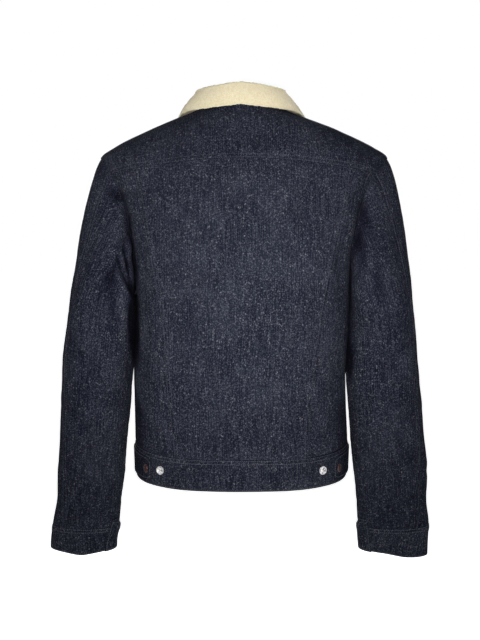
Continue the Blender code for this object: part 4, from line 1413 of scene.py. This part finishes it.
for label in SIDES:
    turn, points = cuff_points(
        label, grid_steps(290, 3.0)[None, :], grid_steps(CUFF_HEIGHT, 3.0)[:, None]
    )
    waves = soft_waves(turn, points[..., 2], 61, 60.0, 0.25)
    # The cuffs' Fold value is painted light that pales their colour.
    cuff = lay_cloth(
        f"cuff_{label}_cloth", points, sleeve_outward(label, turn), SLEEVE_WALL, denim,
        denim, ("top",), (), cuff_lift(turn) + waves, 50 if label == "left" else 51, CUFF_PAINTED_LIGHT,
    )
    round_edges(cuff, 0.9)


def band_height(turn, up):
    """Height on the waistband, whose hem hangs a little lower at both sides."""
    hang = SIDE_HANG * np.exp(-((np.abs(np.sin(np.radians(turn))) - 1) / 0.12) ** 2)
    return waist_line(turn) - 0.3 - (BAND_HEIGHT + hang) * (1 - up)


BAND_END = float(front_edge_turn(1.0, WAIST_SEAM))
across, up = grid_steps(1010, 4.0)[None, :], grid_steps(BAND_HEIGHT, 3.0)[:, None]
turn = mix(BAND_END, -BAND_END, across) + 0 * up
points = body_face(turn, band_height(turn, up))
extra = 0.4 + soft_waves(turn * math.radians(BODY_RADIUS), points[..., 2], 62, 70.0, 0.25)
half = np.where(turn > 0, lap_step(points, turn, BAND_WALL), 0.0)
# The band's Fold value is painted shade from the forearms at both sides.
band = lay_cloth("waistband_cloth", points, from_axis(points), BAND_WALL, denim, denim,
                 ("top",), (), extra + half, 52, -side_shade(turn, points[..., 2]))
round_edges(band, 1.1)

for label, side in SIDES.items():
    across, up = grid_steps(95, 2.6)[None, :], grid_steps(TAB_HEIGHT, 2.6)[:, None]
    end_turn = float(turn_at_x(WAIST_SEAM - 20, TAB_END_X[label], 1.0))
    turn = side * mix(TAB_START_TURN, end_turn, across) + 0 * up
    margin = (1 - TAB_HEIGHT / BAND_HEIGHT) / 2
    corner = TAB_POINT / BAND_HEIGHT * smooth_step((across - 0.9) / 0.1) * np.abs(2 * up - 1) ** 3
    share = mix(margin, 1 - margin, up) - np.sign(up - 0.5) * corner
    points = body_face(turn, band_height(turn, share))
    extra = 0.4 + LAYER_GAP + TAB_WALL
    # The tab's Fold value is painted shade from the forearm.
    tab = lay_cloth(f"waist_tab_{label}_cloth", points, from_axis(points), TAB_WALL, denim, denim,
                    (), (), extra, 53 if side > 0 else 54, -side_shade(turn, points[..., 2]))
    round_edges(tab, 0.8)
print("bands laid, waistband", round(float(edge_distances(sheets["waistband_cloth"].points)
                                           ["left"].max())), "mm round")

# %% [markdown]
# ## Stitches
# Each seam is held down by two rows of thread, one close to the fold and one at its back. A row
# is a line at a steady distance from a panel's edge, found by reading its grid at that distance.
# Along it stands one small stitch after another, each a stretched little ball that sinks into
# the cloth at both ends. The stitches differ a little in length and slant, as sewn ones do.

# %% Stitch rows
STITCH_PITCH = 3.3
STITCH_SIZE = (1.3, 0.34, 0.26)
NEAR_ROW = 2.1
FAR_ROW = 8.2
THREAD_LIFT = 0.04
ROW_MARGIN = 1.5


def row_beside(sheet, edge, away, start=0.0, end=1.0):
    """Points and normals on a cloth at a distance from one of its edges."""
    distance = edge_distances(sheet.points)[edge]
    points, normals = sheet.points, sheet.normals
    if edge in ("bottom", "top"):
        distance, points, normals = distance.T, points.swapaxes(0, 1), normals.swapaxes(0, 1)
    if edge in ("right", "top"):
        distance, points, normals = distance[:, ::-1], points[:, ::-1], normals[:, ::-1]
    first, last = round(start * (len(distance) - 1)), round(end * (len(distance) - 1))
    line = np.array([
        [np.interp(away, distance[index], grid[index, :, axis])
         for grid in (points, normals) for axis in range(3)]
        for index in range(first, last + 1)
    ])
    return line[:, :3], unit(line[:, 3:])


ball = bmesh.new()
bmesh.ops.create_uvsphere(ball, u_segments=6, v_segments=4, radius=1.0)
ball_mesh = bpy.data.meshes.new("one_stitch")
ball.to_mesh(ball_mesh)
ball.free()
ball_shape = np.array([vertex.co for vertex in ball_mesh.vertices]) * STITCH_SIZE


def sew(name, rows, seed, thread):
    """A piece with the stitches of several rows, each given as (points, normals)."""
    chance = np.random.default_rng(seed)
    cage = bmesh.new()
    for points, normals in rows:
        gone = lengths_along(points)
        count = int((gone[-1] - 2 * ROW_MARGIN) / STITCH_PITCH)
        stops = np.linspace(ROW_MARGIN, gone[-1] - ROW_MARGIN, count + 1)
        at = np.stack([np.interp(stops, gone, points[:, axis]) for axis in range(3)], -1)
        out = np.stack([np.interp(stops, gone, normals[:, axis]) for axis in range(3)], -1)
        for first, second, up in zip(at, at[1:], out):
            along = unit(second - first)
            along = unit(along + unit(np.cross(up, along)) * chance.uniform(-0.07, 0.07))
            turned = np.array((along * chance.uniform(0.9, 1.1), np.cross(up, along), up))
            shape = ball_shape @ turned + (first + second) / 2 + up * THREAD_LIFT
            ball_mesh.vertices.foreach_set("co", (shape * MM).ravel())
            cage.from_mesh(ball_mesh)
    return finish_cage(cage, name, thread)


threads = {}


def sew_on(node, rows, seed, thread=tonal_thread):
    """Sews rows on a cloth, each given as (edge, distance from it) and perhaps (start, end)."""
    lines = [row_beside(sheets[f"{node}_cloth"], *row) for row in rows]
    threads[node] = sew(f"{node}_stitches", lines, seed, thread)


def both_rows(edge):
    return [(edge, NEAR_ROW), (edge, FAR_ROW)]


BAND_ROWS = [("top", 2.0), ("top", 7.5), ("bottom", 2.2)]
sew_on("back_yoke", [*both_rows("bottom"), ("left", NEAR_ROW), ("right", NEAR_ROW)], 101)
sew_on("back_center", [*both_rows("left"), *both_rows("right")], 102)
sew_on("waistband", [*BAND_ROWS, ("left", 2.4), ("right", 2.4)], 103, mid_thread)
for number, label in enumerate(SIDES):
    sew_on(f"back_side_{label}", [("left", NEAR_ROW, 0.5, 1.0)], 110 + number)
    sew_on(f"front_{label}", [("left", NEAR_ROW, 0.45, 0.8), ("right", 2.4), ("right", 34.0)],
           120 + number)
    sew_on(f"sleeve_{label}_top", both_rows("right"), 130 + number)
    sew_on(f"cuff_{label}", [*BAND_ROWS, ("right", 2.4)], 140 + number, pale_thread)
    sew_on(f"waist_tab_{label}", [("top", 2.2), ("bottom", 2.2), ("right", 2.2)],
           150 + number, pale_thread)
print("stitches:", sum(len(piece.data.polygons) for piece in threads.values()) // 24)

# %% [markdown]
# ## The collar
# The collar is one thick piece of sherpa: it stands up from the neck seam, turns over a soft fold
# and falls to a loose edge. It is made as a closed tube. Its section runs up the side that shows,
# round the edge, and back on the hidden side. A flat grid is bent into that tube, its first and
# last columns are merged, and then every point is pushed out by a bumpy noise, clump by clump.
# The noise gets a seed first, because it would otherwise take one from the clock.

# %% Collar
COLLAR_END = 180 - COLLAR_OPENING
PILE_STEP = 1.3
CLUMP_SIZE = 4.6
CLUMP_RISE = 1.5
PILE_SINK = 0.8
CLUMP_SEED = 1795537133
STAND_SHARE = 0.3
FALL_SHARE = 0.5
FALL_BULGE = 3.0
UP = np.array((0.0, 0.0, 1.0))


def collar_face(turn, along):
    """The collar's showing face: 0 at the neck seam, up the stand, over the fold, down to 1."""
    turn, along = np.broadcast_arrays(turn, along)
    size = np.abs(turn)
    stand, lean, edge_turn, edge_height, edge_lift = read_table(COLLAR, size)
    seam = body_face(turn, neck_height(size))
    outward = unit(seam * (1, 1, 0))
    foot = seam + UP * COLLAR_CLEARANCE - outward
    shoulder = foot + UP * stand[..., None] - outward * lean[..., None]
    edge_turn = np.where(turn >= 0, edge_turn, -edge_turn)
    edge = body_face(edge_turn, edge_height)
    lift = unit(np.cross(body_face(edge_turn + 0.5, edge_height) - edge,
                         edge - body_face(edge_turn, edge_height + 0.5)))
    edge = edge - lift * edge_lift[..., None] * np.sign(np.sum(lift * -edge, -1))[..., None]
    crown = shoulder + outward * 2 * FOLD_RADIUS
    share = along[..., None]
    rising = mix(foot, shoulder, share / STAND_SHARE)
    bend = math.pi * (share - STAND_SHARE) / (FALL_SHARE - STAND_SHARE)
    turning = mix(shoulder, crown, (1 - np.cos(bend)) / 2) + UP * FOLD_RADIUS * np.sin(bend)
    down = (share - FALL_SHARE) / (1 - FALL_SHARE)
    falling = mix(crown, edge, down) + outward * FALL_BULGE * np.sin(math.pi * down)
    return np.where(share < STAND_SHARE, rising, np.where(share < FALL_SHARE, turning, falling))


def even_shares(line, count):
    """Shares of a line at which its points stand evenly."""
    gone = lengths_along(line)
    return np.interp(np.linspace(0, gone[-1], count), gone, np.linspace(0, 1, len(line)))


def collar_tube():
    """Points of the closed section, ring after ring from one end of the collar to the other."""
    fine = np.linspace(-COLLAR_END, COLLAR_END, 400)
    rim = collar_face(fine, 0.55)
    length = np.sum(np.linalg.norm(np.diff(rim, axis=0), axis=1))
    turn = mix(-COLLAR_END, COLLAR_END, even_shares(rim, round(length / PILE_STEP)))
    section = collar_face(0.0, np.linspace(0, 1, 200))
    long_way = np.sum(np.linalg.norm(np.diff(section, axis=0), axis=1))
    along = even_shares(section, round(long_way / PILE_STEP))
    face = collar_face(turn[:, None], along[None])
    normals = unit(np.cross(np.gradient(face, axis=1), np.gradient(face, axis=0)))
    if np.sum(normals[:, -20:] * from_axis(face[:, -20:])) < 0:
        normals = -normals
    half = COLLAR_WALL / 2
    middle = face - normals * half
    ends = np.arange(len(turn))
    near_end = np.minimum(ends, ends[::-1]) * PILE_STEP
    open_end = (1 - near_end / half).clip(0)
    thick = half * np.sqrt(np.clip(1 - open_end ** 2, 0.0004, 1))[:, None, None]
    arc = np.linspace(0, math.pi, 7)[1:-1][None, :, None]
    tip = unit(face[:, -1:] - face[:, -3:-2])
    root = unit(face[:, :1] - face[:, 2:3])
    edge_cap = middle[:, -1:] + (normals[:, -1:] * np.cos(arc) + tip * np.sin(arc)) * thick
    foot_cap = middle[:, :1] + (-normals[:, :1] * np.cos(arc) + root * np.sin(arc)) * thick
    front, back = middle + normals * thick, (middle - normals * thick)[:, ::-2]
    return np.concatenate((front, edge_cap, back, foot_cap), axis=1)


def lay_tube(rings):
    """A grid bent into a tube, with its first and last columns merged and its ends closed."""
    rows, columns = rings.shape[0], rings.shape[1]
    cage = bmesh.new()
    bmesh.ops.create_grid(cage, x_segments=columns, y_segments=rows - 1, size=0.5)
    for vertex in cage.verts:
        column = round((vertex.co.x + 0.5) * columns) % columns
        row = round((vertex.co.y + 0.5) * (rows - 1))
        vertex.co = rings[row, column] * MM
    bmesh.ops.remove_doubles(cage, verts=cage.verts[:], dist=0.00002)
    loose = [edge for edge in cage.edges if edge.is_boundary]
    bmesh.ops.holes_fill(cage, edges=loose, sides=0)
    bmesh.ops.recalc_face_normals(cage, faces=cage.faces[:])
    return cage


def clump_height(place):
    """Round curls of pile: high in the middle of each cell, with smaller curls on them."""
    wobble = noise.turbulence_vector(place / 3.0, 1, False) * 0.35
    near = noise.voronoi(place / CLUMP_SIZE + wobble)[0]
    curl = max(0.0, 1 - near[0] * 1.25)
    fine = noise.voronoi(place / (CLUMP_SIZE * 0.45) + wobble)[0]
    high = curl * (0.7 + 0.6 * max(0.0, 1 - fine[0] * 1.4)) + 0.25 * noise.noise(place / 17.0)
    return high - PILE_SINK


cage = lay_tube(collar_tube())
cage.normal_update()
noise.seed_set(CLUMP_SEED)
pushes = [vertex.normal * clump_height(vertex.co / MM) * CLUMP_RISE * MM for vertex in cage.verts]
for vertex, push in zip(cage.verts, pushes):
    vertex.co += push
collar = finish_cage(cage, "collar_sherpa", collar_pile)
print("collar faces:", len(collar.data.polygons))

# %% [markdown]
# ## Loose curls
# Pile never ends in a clean line. One thin, bent, tapering strip is made once, and thousands of
# copies stand on the collar at points picked by chance, each turned and sized a little
# differently, so that the outline of the collar and its lower edge look soft.

# %% Curls
CURL_COUNT = 9000
CURL_LENGTH = 3.0
CURL_WIDTH = 0.30
CURL_BEND = 1.9
CURL_ROOT = 0.4
curl_cage = bmesh.new()
bmesh.ops.create_grid(curl_cage, x_segments=1, y_segments=3, size=0.5)
curl_mesh = bpy.data.meshes.new("one_curl")
curl_cage.to_mesh(curl_mesh)
curl_cage.free()
spots = np.array([vertex.co for vertex in curl_mesh.vertices]) + 0.5
curl_shape = np.stack((
    (spots[:, 0] - 0.5) * CURL_WIDTH * (1.15 - spots[:, 1]),
    CURL_LENGTH * np.sin(spots[:, 1] * CURL_BEND) / CURL_BEND,
    CURL_LENGTH * (1 - np.cos(spots[:, 1] * CURL_BEND)) / CURL_BEND,
), -1)


def scatter_curls(name, mesh, count, seed):
    """Copies of the curl on the vertices of a mesh, leaning at random away from its normals."""
    chance = np.random.default_rng(seed)
    shape = (len(mesh.vertices), 3)
    places, outs = np.empty(shape[0] * 3), np.empty(shape[0] * 3)
    mesh.vertices.foreach_get("co", places)
    mesh.vertices.foreach_get("normal", outs)
    picked = chance.choice(shape[0], count, replace=False)
    places, outs = places.reshape(shape)[picked] / MM, outs.reshape(shape)[picked]
    aside = unit(np.cross(outs, chance.normal(size=outs.shape)))
    rise = unit(outs * chance.uniform(0.3, 0.9, (count, 1)) + np.cross(aside, outs))
    over = np.cross(aside, rise)
    cage = bmesh.new()
    for place, out, side_way, up_way, over_way in zip(places, outs, aside, rise, over):
        turned = np.array((side_way, up_way, over_way)) * chance.uniform(0.55, 1.15)
        spots = (curl_shape @ turned + place - out * CURL_ROOT) * MM
        curl_mesh.vertices.foreach_set("co", spots.ravel())
        cage.from_mesh(curl_mesh)
    return finish_cage(cage, name, collar_pile)


curls = scatter_curls("collar_curls", collar.data, CURL_COUNT, 77)
print("curl faces:", len(curls.data.polygons))

# %% [markdown]
# ## Metal finishes
# The buttons are pressed metal. Both metals use one group: a noise dulls the colour in patches,
# and those patches are rougher too. The silver ones are bright and the copper ones are warm and
# darker, as plated buttons are when they have been rubbed. Each has a darker metal in its middle.
# On the copper ones the paler rim is partly rubbed plating and partly a painted highlight.

# %% Metal group and materials
def make_metal_group():
    tree, given, result = new_group(
        "rubbed_metal",
        {"Place": None, "Bright": (0.7, 0.7, 0.7, 1), "Dull": (0.4, 0.4, 0.4, 1), "Gloss": 0.25},
    )
    patches = add_noise(tree, given["Place"], 330.0, 3.0)[0]
    tone = ramp(tree, patches, 0.40, 0.55)
    tree.links.new(blend_colors(tree, tone, given["Dull"], given["Bright"]), result["Color"])
    rough = plus(tree, given["Gloss"], ramp(tree, patches, 0.3, 0.7, 0.16, 0.0))
    tree.links.new(rough, result["Roughness"])
    tree.links.new(patches, result["Height"])
    return tree


metal_group = make_metal_group()


def make_metal(name, bright, dull, gloss, metallic):
    wires = {"Place": object_place, "Bright": (*bright, 1), "Dull": (*dull, 1), "Gloss": gloss}
    return make_material(name, metal_group, wires, 0.00005, look={"Metallic": metallic})


RIM_AND_MIDDLE = {
    "silver_metal": (
        make_metal("silver_button", (0.93, 0.93, 0.92), (0.45, 0.45, 0.46), 0.3, 0.6),
        make_metal("silver_button_middle", (0.95, 0.95, 0.94), (0.16, 0.16, 0.17), 0.3, 0.55),
    ),
    "copper_metal": (
        # The copper rim is paler than its middle: partly rubbed plating, partly a painted highlight.
        make_metal("copper_button", (0.22, 0.11, 0.095), (0.05, 0.025, 0.022), 0.25, 1.0),
        make_metal("copper_button_middle", (0.05, 0.025, 0.022), (0.02, 0.01, 0.01), 0.4, 1.0),
    ),
}
print("metals:", *RIM_AND_MIDDLE)

# %% [markdown]
# ## Buttons
# A jacket button is a turned metal cap on a shank: a rolled rim, a groove, and a plain sunk
# middle. Its profile is a few points, and spin turns them round the button's axis. Each button
# stands where the plain model has it, on the cloth as it lies now.

# %% Buttons
BUTTON_RADIUS = 6.6
BUTTON_HEIGHT = 3.4
RimPoint = namedtuple("RimPoint", "radius height")
BUTTON_PROFILE = [RimPoint(*row) for row in (
    (0.30, 0.00), (0.34, 0.22), (0.86, 0.26), (0.95, 0.34), (1.00, 0.50), (1.00, 0.66),
    (0.97, 0.82), (0.91, 0.95), (0.84, 1.00), (0.77, 0.96), (0.72, 0.86), (0.69, 0.74),
    (0.64, 0.70), (0.59, 0.73), (0.55, 0.80), (0.49, 0.82), (0.30, 0.85), (0.0, 0.87),
)]
BUTTON_MIDDLE = 0.70
MIDDLE_HEIGHT = 2.2
BUTTON_LIFT = 0.2
COPPER_TILT = -16.0


def make_button(name, point, outward, metals):
    """A turned button on the cloth at a point, facing outwards."""
    cage = bmesh.new()
    ends = [cage.verts.new((spot.radius * BUTTON_RADIUS, 0, spot.height * BUTTON_HEIGHT))
            for spot in BUTTON_PROFILE]
    for first, second in zip(ends, ends[1:]):
        cage.edges.new((first, second))
    bmesh.ops.spin(
        cage, geom=cage.verts[:] + cage.edges[:], cent=(0, 0, 0), axis=(0, 0, 1),
        angle=math.tau, steps=48, use_merge=True,
    )
    bmesh.ops.remove_doubles(cage, verts=cage.verts[:], dist=0.001)
    bmesh.ops.holes_fill(cage, edges=[edge for edge in cage.edges if edge.is_boundary], sides=0)
    bmesh.ops.recalc_face_normals(cage, faces=cage.faces[:])
    for face in cage.faces:
        center = face.calc_center_median()
        face.material_index = int(
            math.hypot(center.x, center.y) < BUTTON_MIDDLE * BUTTON_RADIUS
            and center.z > MIDDLE_HEIGHT
        )
    turned = Vector(outward).to_track_quat("Z", "Y").to_matrix().to_4x4()
    place = Matrix.Translation(Vector(point) * MM) @ turned @ Matrix.Scale(MM, 4)
    bmesh.ops.transform(cage, matrix=place, verts=cage.verts[:])
    return finish_cage(cage, name, *metals)


def node_place(node):
    """The middle of a node's box, in millimetres."""
    low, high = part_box(node)
    return (np.array(low) + np.array(high)) / 2 / MM


def button_on(node, cloth, slot="silver_metal", tilt=0.0):
    """Puts a button on the nearest point of a cloth to its node, tilted about the upright."""
    sheet = sheets[f"{cloth}_cloth"]
    target = node_place(node)
    away = np.linalg.norm(sheet.points - target, axis=2)
    row, column = np.unravel_index(np.argmin(away), away.shape)
    normal = sheet.normals[row, column]
    point = target - normal * np.dot(target - sheet.points[row, column], normal)
    facing = Matrix.Rotation(math.radians(tilt), 3, "Z") @ Vector(normal)
    piece = make_button(f"{node}_metal", point + normal * BUTTON_LIFT, facing, RIM_AND_MIDDLE[slot])
    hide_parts(node)
    buttons.append((piece, slot))


buttons = []
for label, side in SIDES.items():
    button_on(f"waist_button_{label}", "waistband")
    button_on(f"tab_button_{label}", f"waist_tab_{label}", "copper_metal", COPPER_TILT * side)
    button_on(f"cuff_button_{label}", f"cuff_{label}")
for number in range(1, 6):
    button_on(f"front_button_{number}", "front_left")
button_on("waistband_button", "waistband")
print("buttons:", len(buttons))

# %% [markdown]
# Every piece now rides on the jacket's one body, and the plain part that it stands for is hidden.
# The size of each cloth's flat cut, measured along the cloth itself, and the area of the cut are
# printed.

def cut_size(points):
    """Width, length and area of a panel's cut in metres, measured along its cloth."""
    distance = edge_distances(points)
    first = np.cross(points[1:, 1:] - points[:-1, :-1], points[1:, :-1] - points[:-1, 1:])
    area = np.sum(np.linalg.norm(first, axis=-1)) / 2
    width, length = distance["left"].max(), distance["bottom"].max()
    return width * MM, length * MM, area * MM * MM


neighbours = {
    "back_yoke": ("back_center", "front_left", "front_right"),
    "back_center": ("back_yoke",),
    "waistband": ("back_center", "front_left", "front_right"),
}
for label in SIDES:
    neighbours[f"back_side_{label}"] = ("back_yoke", "back_center")
    neighbours[f"front_{label}"] = ("back_yoke",)
    neighbours[f"sleeve_{label}_top"] = ("back_yoke", f"front_{label}")
    neighbours[f"sleeve_{label}_under"] = (f"back_side_{label}", f"sleeve_{label}_top")
    neighbours[f"cuff_{label}"] = (f"sleeve_{label}_top", f"sleeve_{label}_under")
    neighbours[f"waist_tab_{label}"] = ("waistband",)

for node, rests_on in neighbours.items():
    sheet = sheets[f"{node}_cloth"]
    width, length, area = cut_size(sheet.points)
    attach(sheet.piece, "root")
    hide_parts(node)
    if node in threads:
        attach(threads[node], "root")
    print(f"{node}: {width * 1000:.0f} x {length * 1000:.0f} mm, {area * 10000:.0f} cm2")

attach(collar, "root")
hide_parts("collar")
face = collar_face(np.linspace(-COLLAR_END, COLLAR_END, 200)[:, None], np.linspace(0, 1, 60)[None])
width, length, area = cut_size(face)
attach(curls, "root")
print(f"collar: {width * 1000:.0f} x {length * 1000:.0f} mm, {area * 10000:.0f} cm2")
for piece, slot in buttons:
    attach(piece, "root")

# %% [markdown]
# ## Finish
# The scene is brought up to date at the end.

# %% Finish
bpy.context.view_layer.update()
